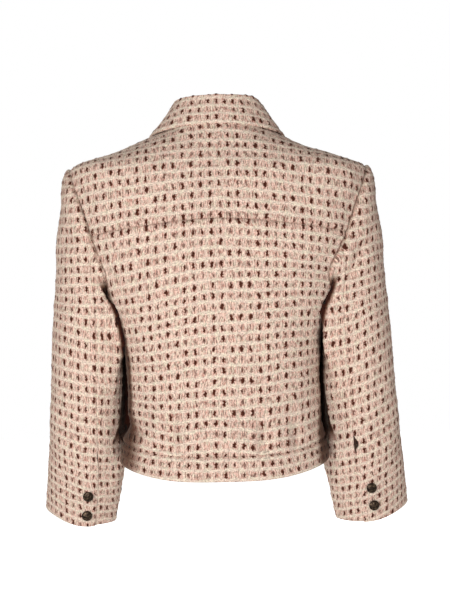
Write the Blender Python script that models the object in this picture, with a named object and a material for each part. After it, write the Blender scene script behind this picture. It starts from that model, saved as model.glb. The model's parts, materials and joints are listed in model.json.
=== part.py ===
"""Cropped tweed jacket, filled out as worn and buttoned up, hollow and open at neck, hem and cuffs.

The wearer faces -Y, the wearer's left is +X and +Z is up.  The origin lies midway between the
shoulders, level with the base of the neck.  Sizes here are in millimetres, and MM turns them to metres.

The body is a smooth form through horizontal sections.  Each body piece is a patch of that form between
seam lines given as (angle, height), with the angle counted from the centre back towards the wearer's
left.  A sleeve is a tube through rings, each laid between an outer and an inner point of the arm.
Pieces that meet at a seam share their points along it and each is trimmed back by half the gap.
"""
from bisect import bisect_right
from collections import namedtuple
from math import atan2, cos, pi, radians, sin

import bmesh
import bpy
from mathutils import Matrix, Vector

MM = 0.001

# Cloth
CLOTH_WALL = 2.0
BAND_WALL = 3.0         # the waistband is doubled
SEAM_GAP = 0.3
SEAM_TRIM = SEAM_GAP / 2 + 0.02     # each edge is cut back by this

# Body form: half the width, the depth behind and in front of the side seams, and how square it is
BodySection = namedtuple("BodySection", "height half_width back_depth front_depth squareness")
BODY_SECTIONS = (
    BodySection(30, 44, 54, 26, 2.10),
    BodySection(16, 58, 62, 30, 2.15),
    BodySection(5, 72, 68, 34, 2.20),
    BodySection(0, 84, 71, 35.5, 2.25),
    BodySection(-8, 99, 74, 37.5, 2.30),
    BodySection(-20, 127, 79, 40, 2.40),
    BodySection(-35, 173, 85, 43, 2.50),
    BodySection(-44, 200, 89, 45.5, 2.60),
    BodySection(-50, 206.5, 91.5, 47.4, 2.65),
    BodySection(-60, 208, 94.5, 52.5, 2.70),
    BodySection(-75, 207, 98, 63.5, 2.70),
    BodySection(-104, 202, 103, 84, 2.65),
    BodySection(-150, 190, 108, 103, 2.60),
    BodySection(-190, 176, 109, 113, 2.50),
    BodySection(-225, 164, 107, 118, 2.45),
    BodySection(-260, 149, 104, 118, 2.40),
    BodySection(-300, 140, 100, 114, 2.35),
    BodySection(-350, 138, 96, 108, 2.30),
    BodySection(-400, 138.5, 95, 105, 2.30),
    BodySection(-440, 142, 98, 107, 2.30),
    BodySection(-460, 145.5, 101, 109, 2.30),
    BodySection(-490, 148, 103, 111, 2.30),
)

# Neck line, seen from above, and how far the body pieces stop short of the collar stand's middle
NECK_HALF_WIDTH = 70
NECK_BACK_DEPTH = 60
NECK_FRONT_DEPTH = 45
NECK_SQUARENESS = 2.2
NECK_CLEARANCE = 2.8
NECK_LOWEST = -65       # no point of the neck line lies lower than this

# Armhole, an upright ellipse seen from the side
ARMHOLE_TOP = -47.5
ARMHOLE_BOTTOM = -241
ARMHOLE_BACK_DEPTH = 56
ARMHOLE_FRONT_DEPTH = 62

# Seams across the body
YOKE_SEAM_CENTRE = -124
WAIST_SEAM_SIDE = -434
WAIST_SEAM_BACK_DIP = 15
WAIST_SEAM_FRONT_DIP = 4
WAIST_SEAM_LEVEL = 5    # the dip stays level across the middle and rises near the side seams
BAND_HEIGHT = 34
BAND_BULGE = 1.5

# Front closing, the right front over the left
FRONT_LAP = 15          # each front runs this far past the centre
LAP_RAMP_START = 34     # where the right front begins to rise over the left, from the centre
LAP_RAMP_END = 20
LAP_LIFT = CLOTH_WALL + 2 * SEAM_GAP
BAND_LAP_LIFT = BAND_WALL + 2 * SEAM_GAP

# Fullness above the waistband, and the tucks that take it in
BLOUSE_DEPTH = 5
BLOUSE_PEAK = 20        # height of the fullest line above the waist seam
BLOUSE_REACH = 75
Tuck = namedtuple("Tuck", "across length depth half_width")
TUCKS = (
    Tuck(82, 60, 5.0, 8),
    Tuck(-56, 58, 5.0, 8),
    Tuck(-101, 48, 3.5, 9),
    Tuck(36, 40, 2.5, 8),
)

# Sleeve rings: the outer and inner points, the middle's place fore and aft, half the depth, and the
# angle that the ring tips down towards the back as the forearm comes forward
SleeveRing = namedtuple("SleeveRing", "outer_x outer_z inner_x inner_z middle_y half_depth tip")
SLEEVE_RINGS = (
    SleeveRing(204.5, -47.5, 158, -241, -3, 59, 0),
    SleeveRing(213.5, -50.5, 161, -243, -3, 60, 0),
    SleeveRing(219.5, -64, 161, -247, -3, 61, 0),
    SleeveRing(223.5, -99, 159.5, -252, -3, 61, 0),
    SleeveRing(228, -135, 157, -258, -3, 60, 0),
    SleeveRing(231, -175, 153.5, -266, -3, 59, 0),
    SleeveRing(234, -215, 150, -277, -3, 58, 0),
    SleeveRing(237, -255, 146.5, -291, -3, 56, 1),
    SleeveRing(239, -295, 143.5, -310, -5, 54.5, 3),
    SleeveRing(241, -332, 141.5, -338, -8, 53, 6),
    SleeveRing(244, -370, 141.5, -378, -17, 52, 11),
    SleeveRing(248, -408, 143, -420, -29, 50.5, 17),
    SleeveRing(252, -445, 146, -460, -43, 48, 21),
    SleeveRing(256.5, -479, 151, -498, -57, 45, 23),
    SleeveRing(260, -507, 157.5, -528, -70, 42.5, 24),
    SleeveRing(262, -531, 162.5, -553, -79, 41, 24),
)
ARMHOLE_FADE = 3        # rings over which the armhole's own shape gives way to the rings' shape

# Division of a sleeve into its two pieces, and the cuff vent where the upper one laps the under one
RING_STEPS = 24
BACK_SEAM_STEP = 7      # steps from the outermost line towards the back
FRONT_SEAM_STEP = -5
LAST_RING = len(SLEEVE_RINGS) - 1
VENT_RING = 12          # ring at which the vent opens
VENT_LAP = 2            # ring steps by which the under sleeve runs on below the upper one
VENT_SHIFTS = (-VENT_LAP, -0.6)     # steps by which its first columns move over in the vent
VENT_DROP = CLOTH_WALL + SEAM_GAP
FOREARM_TURN_START = 8  # ring at which the forearm starts to turn
FOREARM_TURN = {1: 12, -1: 2}   # degrees at the cuff, on the wearer's left and right

# Collar: the fold and the leaf edge round the neck, by angle from the centre back
CollarSection = namedtuple("CollarSection", "angle fold_inset fold_height leaf_height leaf_lift")
COLLAR_SECTIONS = (
    CollarSection(0, 3, 49, 6.5, 2.7),
    CollarSection(45, 5.5, 47.5, 3, 2.7),
    CollarSection(70, 9, 45, -2, 2.7),
    CollarSection(90, 11.5, 42.5, -5, 2.7),
    CollarSection(110, 10, 33, -20, 2.8),
    CollarSection(130, 7, 12, -48, 3.2),
    CollarSection(142, 6, 0, -71, 4.5),
    CollarSection(151, 6, -10, -88, 5.8),
    CollarSection(165, 6, -20.5, -72, 5.8),
    CollarSection(177, 6, -25.5, -55, 5.8),
)
COLLAR_WALL = 2.0
COLLAR_TUCK = 2.5       # the stand starts this far below the body's neck edge
COLLAR_POINT = 151      # degrees round from the centre back
COLLAR_END = 177
COLLAR_BACK_STEPS = 18
COLLAR_FRONT_STEPS = 4
FOLD_ROLL = 1.6         # radius of the fold's middle line
FOLD_POINTS = 5
STAND_POINTS = 2
FALL_POINTS = 4

# Buttons, domed metal on a short shank
ButtonPoint = namedtuple("ButtonPoint", "radius height")
BUTTON_PROFILE = (
    ButtonPoint(0, 0),
    ButtonPoint(2.2, 0),
    ButtonPoint(2.2, 1.2),
    ButtonPoint(6.8, 1.5),
    ButtonPoint(7.5, 2.2),
    ButtonPoint(7.2, 3.0),
    ButtonPoint(5.2, 4.2),
    ButtonPoint(2.6, 4.9),
    ButtonPoint(0, 5.1),
)
BUTTON_SIDES = 16
BUTTON_GAP = 0.3
FRONT_BUTTON_TOP = -84
FRONT_BUTTON_SPACING = 92.5
FRONT_BUTTON_COUNT = 5
CUFF_BUTTON_STEP = 5.5          # ring steps from the outermost line
CUFF_BUTTON_FROM_EDGE = (45, 16)

# Fineness of the pieces
BACK_STEPS = 28
SHOULDER_STEPS = 6
FRONT_NECK_STEPS = 7
YOKE_ROWS = 6           # ring steps down the armhole from the tip to the yoke seam
SIDE_ROWS = 9
BAND_ROWS = 2
SHARP_ANGLE = 60        # degrees between faces at which shading breaks

TWEED = ("tweed", (0.62, 0.44, 0.37), 0.9, 0.0)
METAL = ("dark_metal", (0.045, 0.03, 0.022), 0.4, 0.85)


def smooth_column(rows, key, column):
    """Monotone cubic through one column of a table, as a function of the key column"""
    knots = sorted((getattr(row, key), getattr(row, column)) for row in rows)
    places = [place for place, _ in knots]
    values = [value for _, value in knots]
    spans = [b - a for a, b in zip(places, places[1:])]
    slopes = [(b - a) / span for a, b, span in zip(values, values[1:], spans)]
    tangents = [slopes[0]]
    for before, after in zip(slopes, slopes[1:]):
        tangents.append(2 * before * after / (before + after) if before * after > 0 else 0.0)
    tangents.append(slopes[-1])

    def curve(place):
        place = min(max(place, places[0]), places[-1])
        i = min(bisect_right(places, place), len(spans)) - 1
        t = (place - places[i]) / spans[i]
        start = values[i] * (2 * t**3 - 3 * t**2 + 1) + tangents[i] * spans[i] * (t**3 - 2 * t**2 + t)
        end = values[i + 1] * (3 * t**2 - 2 * t**3) + tangents[i + 1] * spans[i] * (t**3 - t**2)
        return start + end

    return curve


def solve(function, target, low, high):
    """Place between low and high where a steadily changing function reaches the target"""
    rising = function(high) > function(low)
    for _ in range(40):
        middle = (low + high) / 2
        if (function(middle) < target) == rising:
            low = middle
        else:
            high = middle
    return (low + high) / 2


def smooth_step(t):
    t = min(max(t, 0.0), 1.0)
    return t * t * (3 - 2 * t)


def oval_radius(angle, half_width, depth, squareness):
    across = abs(sin(angle)) / half_width
    along = abs(cos(angle)) / depth
    return (across**squareness + along**squareness) ** (-1 / squareness)


# ---- body form ----

half_width = smooth_column(BODY_SECTIONS, "height", "half_width")
back_depth = smooth_column(BODY_SECTIONS, "height", "back_depth")
front_depth = smooth_column(BODY_SECTIONS, "height", "front_depth")
squareness = smooth_column(BODY_SECTIONS, "height", "squareness")


def depth_at(angle, height):
    return back_depth(height) if cos(angle) >= 0 else front_depth(height)


def body_radius(angle, height):
    return oval_radius(angle, half_width(height), depth_at(angle, height), squareness(height))


def body_point(angle, height):
    radius = body_radius(angle, height)
    return Vector((radius * sin(angle), radius * cos(angle), height))


def body_normal(angle, height):
    """Outward direction of the form"""
    turn, rise = 0.002, 0.2
    along = body_point(angle + turn, height) - body_point(angle - turn, height)
    up = body_point(angle, height + rise) - body_point(angle, height - rise)
    return up.cross(along).normalized()


def waist_seam(angle):
    dip = WAIST_SEAM_BACK_DIP if cos(angle) >= 0 else WAIST_SEAM_FRONT_DIP
    return WAIST_SEAM_SIDE - dip * (1 - abs(sin(angle)) ** WAIST_SEAM_LEVEL)


def neck_radius(angle):
    depth = NECK_BACK_DEPTH if cos(angle) >= 0 else NECK_FRONT_DEPTH
    return oval_radius(angle, NECK_HALF_WIDTH, depth, NECK_SQUARENESS)


def neck_height(angle):
    """Height at which the form comes up to the neck line"""
    target = neck_radius(angle) + NECK_CLEARANCE
    return solve(lambda height: body_radius(angle, height), target, NECK_LOWEST, BODY_SECTIONS[0].height)


def armhole_line(turn):
    """(angle, height) on the armhole, turning from its top (0) through the back (90) to its bottom (180)"""
    height = (ARMHOLE_TOP + ARMHOLE_BOTTOM) / 2 + (ARMHOLE_TOP - ARMHOLE_BOTTOM) / 2 * cos(turn)
    y = (ARMHOLE_BACK_DEPTH if sin(turn) >= 0 else ARMHOLE_FRONT_DEPTH) * sin(turn)
    depth = back_depth(height) if y >= 0 else front_depth(height)
    power = squareness(height)
    x = half_width(height) * (1 - (abs(y) / depth) ** power) ** (1 / power)
    return atan2(x, y), height


def fullness(angle, height):
    """How far the cloth stands off the form above the waist seam, less the tucks"""
    above = height - waist_seam(angle)
    if above <= 0 or above >= BLOUSE_REACH:
        return 0.0
    rise = smooth_step(above / BLOUSE_PEAK)
    fade = 1 - smooth_step((above - BLOUSE_PEAK) / (BLOUSE_REACH - BLOUSE_PEAK))
    bulge = BLOUSE_DEPTH * rise * fade * abs(cos(angle))
    x = body_point(angle, height).x
    taken_in = 0.0
    if cos(angle) > 0:
        for tuck in TUCKS:
            if above < tuck.length:
                nearness = max(0.0, 1 - abs(x - tuck.across) / (2 * tuck.half_width))
                taken_in += tuck.depth * smooth_step(nearness) * (1 - smooth_step(above / tuck.length))
    return bulge - taken_in * smooth_step(above / (BLOUSE_PEAK / 2))


def lap_rise(point, lift):
    """Rise of the right front and band end over the left, which they cover at the centre front"""
    past_ramp = (point.x + LAP_RAMP_START) / (LAP_RAMP_START - LAP_RAMP_END)
    return lift * smooth_step(past_ramp) if point.y < 0 else 0.0


# ---- grids of points ----

def fill_patch(bottom, top, start, end, rows_below=0):
    """Grid of (angle, height) between four sampled edges of the form, as grid[column][row]

    The edges are blended in space, and each blended point is taken back to the form straight out from
    the body's middle line.  The top edge has no say in the lowest rows_below rows.
    """
    edges = [[body_point(*pair) for pair in line] for line in (bottom, top, start, end)]
    low, high, first, last = edges
    columns, rows = len(bottom), len(start)
    grid = []
    for i in range(columns):
        u = i / (columns - 1)
        column = []
        for j in range(rows):
            v = max(0, j - rows_below) / (rows - 1 - rows_below)
            corners = low[0].lerp(high[0], v).lerp(low[-1].lerp(high[-1], v), u)
            point = low[i].lerp(high[i], v) + first[j].lerp(last[j], u) - corners
            angle = atan2(point.x, point.y)
            if angle < -pi / 2:
                angle += 2 * pi
            column.append((angle, point.z))
        grid.append(column)
    for i in range(columns):
        grid[i][0], grid[i][-1] = bottom[i], top[i]
    for j in range(rows):
        grid[0][j], grid[-1][j] = start[j], end[j]
    return grid


def inward_step(before, point, after, inside):
    """Unit direction from an edge point into the sheet, square to the edge"""
    along = (after - before).normalized()
    inward = inside - point
    return (inward - along * inward.dot(along)).normalized()


def trim_edges(points, amount):
    """Pull the grid's four edges in along the cloth"""
    columns, rows = len(points), len(points[0])
    trimmed = [[point.copy() for point in column] for column in points]
    for i in range(columns):
        before, after = points[max(i - 1, 0)], points[min(i + 1, columns - 1)]
        for edge, inside in ((0, 1), (rows - 1, rows - 2)):
            step = inward_step(before[edge], points[i][edge], after[edge], points[i][inside])
            trimmed[i][edge] += step * amount
    for j in range(rows):
        below, above = max(j - 1, 0), min(j + 1, rows - 1)
        for edge, inside in ((0, 1), (columns - 1, columns - 2)):
            line = points[edge]
            step = inward_step(line[below], line[j], line[above], points[inside][j])
            trimmed[edge][j] += step * amount
    return trimmed


def grid_normals(points, outward=1):
    """Directions across a sheet, from its neighbouring points"""
    columns, rows = len(points), len(points[0])
    normals = []
    for i in range(columns):
        before, after = points[max(i - 1, 0)], points[min(i + 1, columns - 1)]
        column = []
        for j in range(rows):
            along = after[j] - before[j]
            up = points[i][min(j + 1, rows - 1)] - points[i][max(j - 1, 0)]
            column.append(along.cross(up).normalized() * outward)
        normals.append(column)
    return normals


def cloth_object(name, points, across, wall, parent):
    """Closed wall of cloth: a grid doubled into an outer and an inner face, joined at its edges"""
    columns, rows = len(points), len(points[0])
    bm = bmesh.new()
    number = bm.verts.layers.int.new("number")
    bmesh.ops.create_grid(bm, x_segments=columns - 1, y_segments=rows - 1, size=1)
    for count, vert in enumerate(bm.verts):
        vert[number] = count
    doubled = bmesh.ops.extrude_face_region(bm, geom=bm.faces[:], use_keep_orig=True)
    inner = {item for item in doubled["geom"] if isinstance(item, bmesh.types.BMVert)}
    for vert in bm.verts:
        j, i = divmod(vert[number], columns)
        side = -1 if vert in inner else 1
        vert.co = (points[i][j] + across[i][j] * (side * wall / 2)) * MM
    bmesh.ops.recalc_face_normals(bm, faces=bm.faces[:])
    mesh = bpy.data.meshes.new(name)
    bm.to_mesh(mesh)
    bm.free()
    mesh.shade_smooth()
    mesh.set_sharp_from_angle(angle=radians(SHARP_ANGLE))
    return add_object(name, mesh, TWEED, parent)


def add_object(name, mesh, finish, parent):
    obj = bpy.data.objects.new(name, mesh)
    bpy.context.collection.objects.link(obj)
    obj.data.materials.append(make_material(name, finish))
    obj.parent = parent
    return obj


def make_material(name, finish):
    kind, colour, roughness, metallic = finish
    material = bpy.data.materials.new(f"{kind}_{name}")
    material.use_nodes = True
    shader = material.node_tree.nodes["Principled BSDF"]
    shader.inputs["Base Color"].default_value = (*colour, 1)
    shader.inputs["Roughness"].default_value = roughness
    shader.inputs["Metallic"].default_value = metallic
    return material


# ---- seam lines shared by the body pieces ----

def evenly(start, end, steps):
    return [start + (end - start) * i / steps for i in range(steps + 1)]


def shoulder_line(steps):
    """(angle, height) from the shoulder tip to the neck, on the wearer's left"""
    tip = half_width(ARMHOLE_TOP)
    neck = NECK_HALF_WIDTH + NECK_CLEARANCE
    heights = [solve(half_width, x, ARMHOLE_TOP, BODY_SECTIONS[0].height) for x in evenly(tip, neck, steps)]
    heights[0] = ARMHOLE_TOP
    return [(pi / 2, height) for height in heights]


def neck_line(start, end, steps):
    return [(angle, neck_height(angle)) for angle in evenly(start, end, steps)]


def waist_line(angles):
    return [(angle, waist_seam(angle)) for angle in angles]


def side_line():
    """(angle, height) up the side seam, on the wearer's left"""
    return [(pi / 2, height) for height in evenly(WAIST_SEAM_SIDE, ARMHOLE_BOTTOM, SIDE_ROWS)]


def armhole_points(first_step, last_step):
    way = 1 if last_step > first_step else -1
    steps = range(first_step, last_step + way, way)
    return [armhole_line(2 * pi * step / RING_STEPS) for step in steps]


def mirrored(line):
    return [(-angle, height) for angle, height in line]


def lap_angle(height):
    """Angle of the front edge, FRONT_LAP past the centre front"""
    return pi + atan2(FRONT_LAP, front_depth(height))


def front_angles(start, height, steps):
    """Angles from start round to the left front's edge, with points at both ends of the lap's ramp"""
    depth = front_depth(height)
    ramp = [pi - atan2(across, depth) for across in (LAP_RAMP_START, LAP_RAMP_END)]
    return evenly(start, ramp[0], steps - 2) + [ramp[1], lap_angle(height)]


def waist_angles():
    """Angles of the waist seam's points, across the back and then from the side to the left front's edge"""
    back = evenly(-pi / 2, pi / 2, BACK_STEPS)
    front = front_angles(pi / 2, waist_seam(pi), SHOULDER_STEPS + FRONT_NECK_STEPS)
    return back, front


def yoke_seam():
    end_angle, end_height = armhole_line(2 * pi * YOKE_ROWS / RING_STEPS)
    drop = YOKE_SEAM_CENTRE - end_height
    angles = evenly(-end_angle, end_angle, BACK_STEPS)
    return [(angle, YOKE_SEAM_CENTRE - drop * (angle / end_angle) ** 2) for angle in angles]


# ---- sleeve form ----

def sleeve_point(ring, turn):
    """Point of the wearer's left sleeve, turning from its outermost line (0) through the back (90)"""
    def on_ring(row):
        outer = Vector((row.outer_x, row.middle_y, row.outer_z))
        inner = Vector((row.inner_x, row.middle_y, row.inner_z))
        back = Vector((0, cos(radians(row.tip)), -sin(radians(row.tip)))) * row.half_depth
        return (outer + inner) / 2 + (outer - inner) / 2 * cos(turn) + back * sin(turn)

    point = on_ring(SLEEVE_RINGS[ring])
    share = max(0.0, 1 - ring / ARMHOLE_FADE) ** 2
    if share > 0:
        point += (body_point(*armhole_line(turn)) - on_ring(SLEEVE_RINGS[0])) * share
    return point


def sleeve_normal(ring, turn):
    """Outward direction of the sleeve, shared with the body along the armhole seam"""
    small = 0.01
    along = sleeve_point(ring, turn + small) - sleeve_point(ring, turn - small)
    down = sleeve_point(min(ring + 1, LAST_RING), turn) - sleeve_point(max(ring - 1, 0), turn)
    normal = down.cross(along).normalized()
    if ring == 0:
        normal = (normal + body_normal(*armhole_line(turn))).normalized()
    return normal


def ring_turn(step, ring, cuff_turn):
    forearm = smooth_step((ring - FOREARM_TURN_START) / (LAST_RING - FOREARM_TURN_START))
    return 2 * pi * step / RING_STEPS + radians(cuff_turn) * forearm


def mirror_if(vector, side):
    return Vector((vector.x * side, vector.y, vector.z))


def sleeve_sheet(steps, side, lapped_under=False):
    """Points and cross directions of a sleeve piece between two seams, ring by ring"""
    points, across = [], []
    for column, step in enumerate(steps):
        line, line_across = [], []
        for ring in range(LAST_RING + 1):
            shift, drop = 0.0, 0.0
            if lapped_under and column < len(VENT_SHIFTS) and ring >= VENT_RING:
                shift = VENT_SHIFTS[column] if ring > VENT_RING else 0.0
                drop = VENT_DROP
            turn = ring_turn(step + shift, ring, FOREARM_TURN[side])
            normal = sleeve_normal(ring, turn)
            line.append(mirror_if(sleeve_point(ring, turn) - normal * drop, side))
            line_across.append(mirror_if(normal, side))
        points.append(line)
        across.append(line_across)
    return trim_edges(points, SEAM_TRIM), across


def sleeve_spot(step, from_edge, side):
    """Point and outward direction on a sleeve, measured up from its cuff edge"""
    left_over = from_edge
    for ring in range(LAST_RING, 0, -1):
        turn = ring_turn(step, ring, FOREARM_TURN[side])
        turn_above = ring_turn(step, ring - 1, FOREARM_TURN[side])
        lower, upper = sleeve_point(ring, turn), sleeve_point(ring - 1, turn_above)
        length = (upper - lower).length
        if left_over <= length:
            share = left_over / length
            normal = sleeve_normal(ring, turn).lerp(sleeve_normal(ring - 1, turn_above), share)
            return mirror_if(lower.lerp(upper, share), side), mirror_if(normal.normalized(), side)
        left_over -= length


# ---- pieces ----

def body_sheet(patch):
    """Points and cross directions of a patch of the body form"""
    points, across = [], []
    for column in patch:
        line, line_across = [], []
        for angle, height in column:
            normal = body_normal(angle, height)
            point = body_point(angle, height)
            rise = fullness(angle, height)
            if angle < 0:
                rise += lap_rise(point, LAP_LIFT)
            line.append(point + normal * rise)
            line_across.append(normal)
        points.append(line)
        across.append(line_across)
    return points, across


def share_armhole(across, column, rows, steps, side):
    """Give an edge along the armhole the sleeve's own cross directions"""
    for row, step in zip(rows, steps):
        across[column][row] = mirror_if(sleeve_normal(0, 2 * pi * step / RING_STEPS), side)


def make_yoke(parent):
    shoulder = shoulder_line(SHOULDER_STEPS)
    half_neck = BACK_STEPS // 2 - SHOULDER_STEPS
    neck = neck_line(-pi / 2, pi / 2, 2 * half_neck)
    top = mirrored(shoulder)[:-1] + neck + shoulder[::-1][1:]
    armhole = armhole_points(YOKE_ROWS, 0)
    patch = fill_patch(yoke_seam(), top, mirrored(armhole), armhole)
    points, across = body_sheet(patch)
    steps = range(YOKE_ROWS, -1, -1)
    share_armhole(across, 0, range(YOKE_ROWS + 1), steps, -1)
    share_armhole(across, -1, range(YOKE_ROWS + 1), steps, 1)
    cloth_object("back_yoke", trim_edges(points, SEAM_TRIM), across, CLOTH_WALL, parent)


def make_back(parent):
    under_arm = RING_STEPS // 2
    edge = side_line() + armhole_points(under_arm, YOKE_ROWS)[1:]
    patch = fill_patch(waist_line(waist_angles()[0]), yoke_seam(), mirrored(edge), edge, SIDE_ROWS)
    points, across = body_sheet(patch)
    rows = range(SIDE_ROWS, len(edge))
    steps = range(under_arm, YOKE_ROWS - 1, -1)
    share_armhole(across, 0, rows, steps, -1)
    share_armhole(across, -1, rows, steps, 1)
    cloth_object("back_body", trim_edges(points, SEAM_TRIM), across, CLOTH_WALL, parent)


def make_front(name, side, parent):
    under_arm = RING_STEPS // 2
    edge = side_line() + armhole_points(under_arm, RING_STEPS)[1:]
    shoulder = shoulder_line(SHOULDER_STEPS)
    neck = [(angle, neck_height(angle)) for angle in front_angles(pi / 2, neck_height(pi), FRONT_NECK_STEPS)]
    lower = evenly(WAIST_SEAM_SIDE, ARMHOLE_BOTTOM, SIDE_ROWS)
    upper = evenly(ARMHOLE_BOTTOM, neck[-1][1], under_arm)
    centre = [(lap_angle(height), height) for height in lower + upper[1:]]
    centre[0] = (waist_angles()[1][-1], waist_seam(pi))
    centre[-1] = neck[-1]
    patch = fill_patch(waist_line(waist_angles()[1]), shoulder + neck[1:], edge, centre, SIDE_ROWS)
    if side < 0:
        patch = [mirrored(column) for column in patch]
    points, across = body_sheet(patch)
    share_armhole(across, 0, range(SIDE_ROWS, len(edge)), range(under_arm, RING_STEPS + 1), side)
    cloth_object(name, trim_edges(points, SEAM_TRIM), across, CLOTH_WALL, parent)


def make_waistband(parent):
    back, front = waist_angles()
    angles = [-angle for angle in front[::-1]][:-1] + back + front[1:]
    points, across = [], []
    for angle in angles:
        line, line_across = [], []
        for row in range(BAND_ROWS + 1):
            height = waist_seam(angle) - BAND_HEIGHT * row / BAND_ROWS
            normal = body_normal(angle, waist_seam(angle))
            rise = BAND_BULGE * sin(pi * row / BAND_ROWS)
            if angle < 0:
                rise += lap_rise(body_point(angle, height), BAND_LAP_LIFT)
            line.append(body_point(angle, height) + normal * rise)
            line_across.append(normal)
        points.append(line)
        across.append(line_across)
    cloth_object("waistband", trim_edges(points, SEAM_TRIM), across, BAND_WALL, parent)


def make_sleeve(side, parent):
    name = "sleeve_left" if side > 0 else "sleeve_right"
    upper_steps = range(FRONT_SEAM_STEP, BACK_SEAM_STEP + 1)
    under_steps = range(BACK_SEAM_STEP, FRONT_SEAM_STEP + RING_STEPS + 1)
    points, across = sleeve_sheet(upper_steps, side)
    cloth_object(f"{name}_upper", points, across, CLOTH_WALL, parent)
    points, across = sleeve_sheet(under_steps, side, lapped_under=True)
    cloth_object(f"{name}_under", points, across, CLOTH_WALL, parent)


def make_collar(parent):
    fold_inset = smooth_column(COLLAR_SECTIONS, "angle", "fold_inset")
    fold_height = smooth_column(COLLAR_SECTIONS, "angle", "fold_height")
    leaf_height = smooth_column(COLLAR_SECTIONS, "angle", "leaf_height")
    leaf_lift = smooth_column(COLLAR_SECTIONS, "angle", "leaf_lift")
    half = evenly(0, COLLAR_POINT, COLLAR_BACK_STEPS) + evenly(COLLAR_POINT, COLLAR_END, COLLAR_FRONT_STEPS)[1:]
    points = []
    for degrees_round in [-angle for angle in half[:0:-1]] + half:
        angle, place = radians(degrees_round), abs(degrees_round)
        outward = Vector((sin(angle), cos(angle), 0))
        base = outward * neck_radius(angle) + Vector((0, 0, neck_height(angle) - COLLAR_TUCK))
        fold = outward * (neck_radius(angle) - fold_inset(place)) + Vector((0, 0, fold_height(place) - FOLD_ROLL))
        leaf_place = leaf_height(place)
        leaf = body_point(angle, leaf_place) + body_normal(angle, leaf_place) * leaf_lift(place)
        roll = []
        for turn in evenly(pi, 0, FOLD_POINTS - 1):
            roll.append(fold + outward * (FOLD_ROLL * cos(turn)) + Vector((0, 0, FOLD_ROLL * sin(turn))))
        stand = [base.lerp(roll[0], share) for share in evenly(0, 1, STAND_POINTS)[:-1]]
        fall = [roll[-1].lerp(leaf, share) for share in evenly(0, 1, FALL_POINTS)[1:]]
        points.append(stand + roll + fall)
    cloth_object("collar", points, grid_normals(points), COLLAR_WALL, parent)


def make_button(name, seat, outward, parent):
    """Domed button turned about +Z, then set with its shank on the cloth"""
    bm = bmesh.new()
    verts = [bm.verts.new((row.radius * MM, 0, row.height * MM)) for row in BUTTON_PROFILE]
    edges = [bm.edges.new(pair) for pair in zip(verts, verts[1:])]
    bmesh.ops.spin(bm, geom=verts + edges, cent=(0, 0, 0), axis=(0, 0, 1), angle=2 * pi,
                   steps=BUTTON_SIDES, use_merge=True)
    bmesh.ops.remove_doubles(bm, verts=bm.verts[:], dist=0.01 * MM)
    bmesh.ops.recalc_face_normals(bm, faces=bm.faces[:])
    mesh = bpy.data.meshes.new(name)
    bm.to_mesh(mesh)
    bm.free()
    mesh.shade_smooth()
    button = add_object(name, mesh, METAL, parent)
    turned = outward.to_track_quat("Z", "Y").to_matrix().to_4x4()
    button.matrix_world = Matrix.Translation(seat * MM) @ turned


def make_cuff_buttons(side, parent):
    name = "cuff_button_left" if side > 0 else "cuff_button_right"
    for count, from_edge in enumerate(CUFF_BUTTON_FROM_EDGE, 1):
        point, outward = sleeve_spot(CUFF_BUTTON_STEP, from_edge, side)
        make_button(f"{name}_{count}", point + outward * (CLOTH_WALL / 2 + BUTTON_GAP), outward, parent)


def make_front_buttons(parent):
    for count in range(FRONT_BUTTON_COUNT):
        height = FRONT_BUTTON_TOP - FRONT_BUTTON_SPACING * count
        on_band = height < waist_seam(pi)
        outward = body_normal(pi, height)
        rise = LAP_LIFT + CLOTH_WALL / 2 + fullness(pi, height)
        if on_band:
            rise = BAND_LAP_LIFT + BAND_WALL / 2 + BAND_BULGE
        seat = body_point(pi, height) + outward * (rise + BUTTON_GAP)
        make_button(f"front_button_{count + 1}", seat, outward, parent)


def main():
    for obj in list(bpy.data.objects):
        bpy.data.objects.remove(obj, do_unlink=True)
    jacket = bpy.data.objects.new("jacket", None)
    bpy.context.collection.objects.link(jacket)
    make_yoke(jacket)
    make_back(jacket)
    make_front("front_left", 1, jacket)
    make_front("front_right", -1, jacket)
    make_waistband(jacket)
    for side in (1, -1):
        make_sleeve(side, jacket)
        make_cuff_buttons(side, jacket)
    make_collar(jacket)
    make_front_buttons(jacket)


main()
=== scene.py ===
import json
from math import pi, radians

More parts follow.
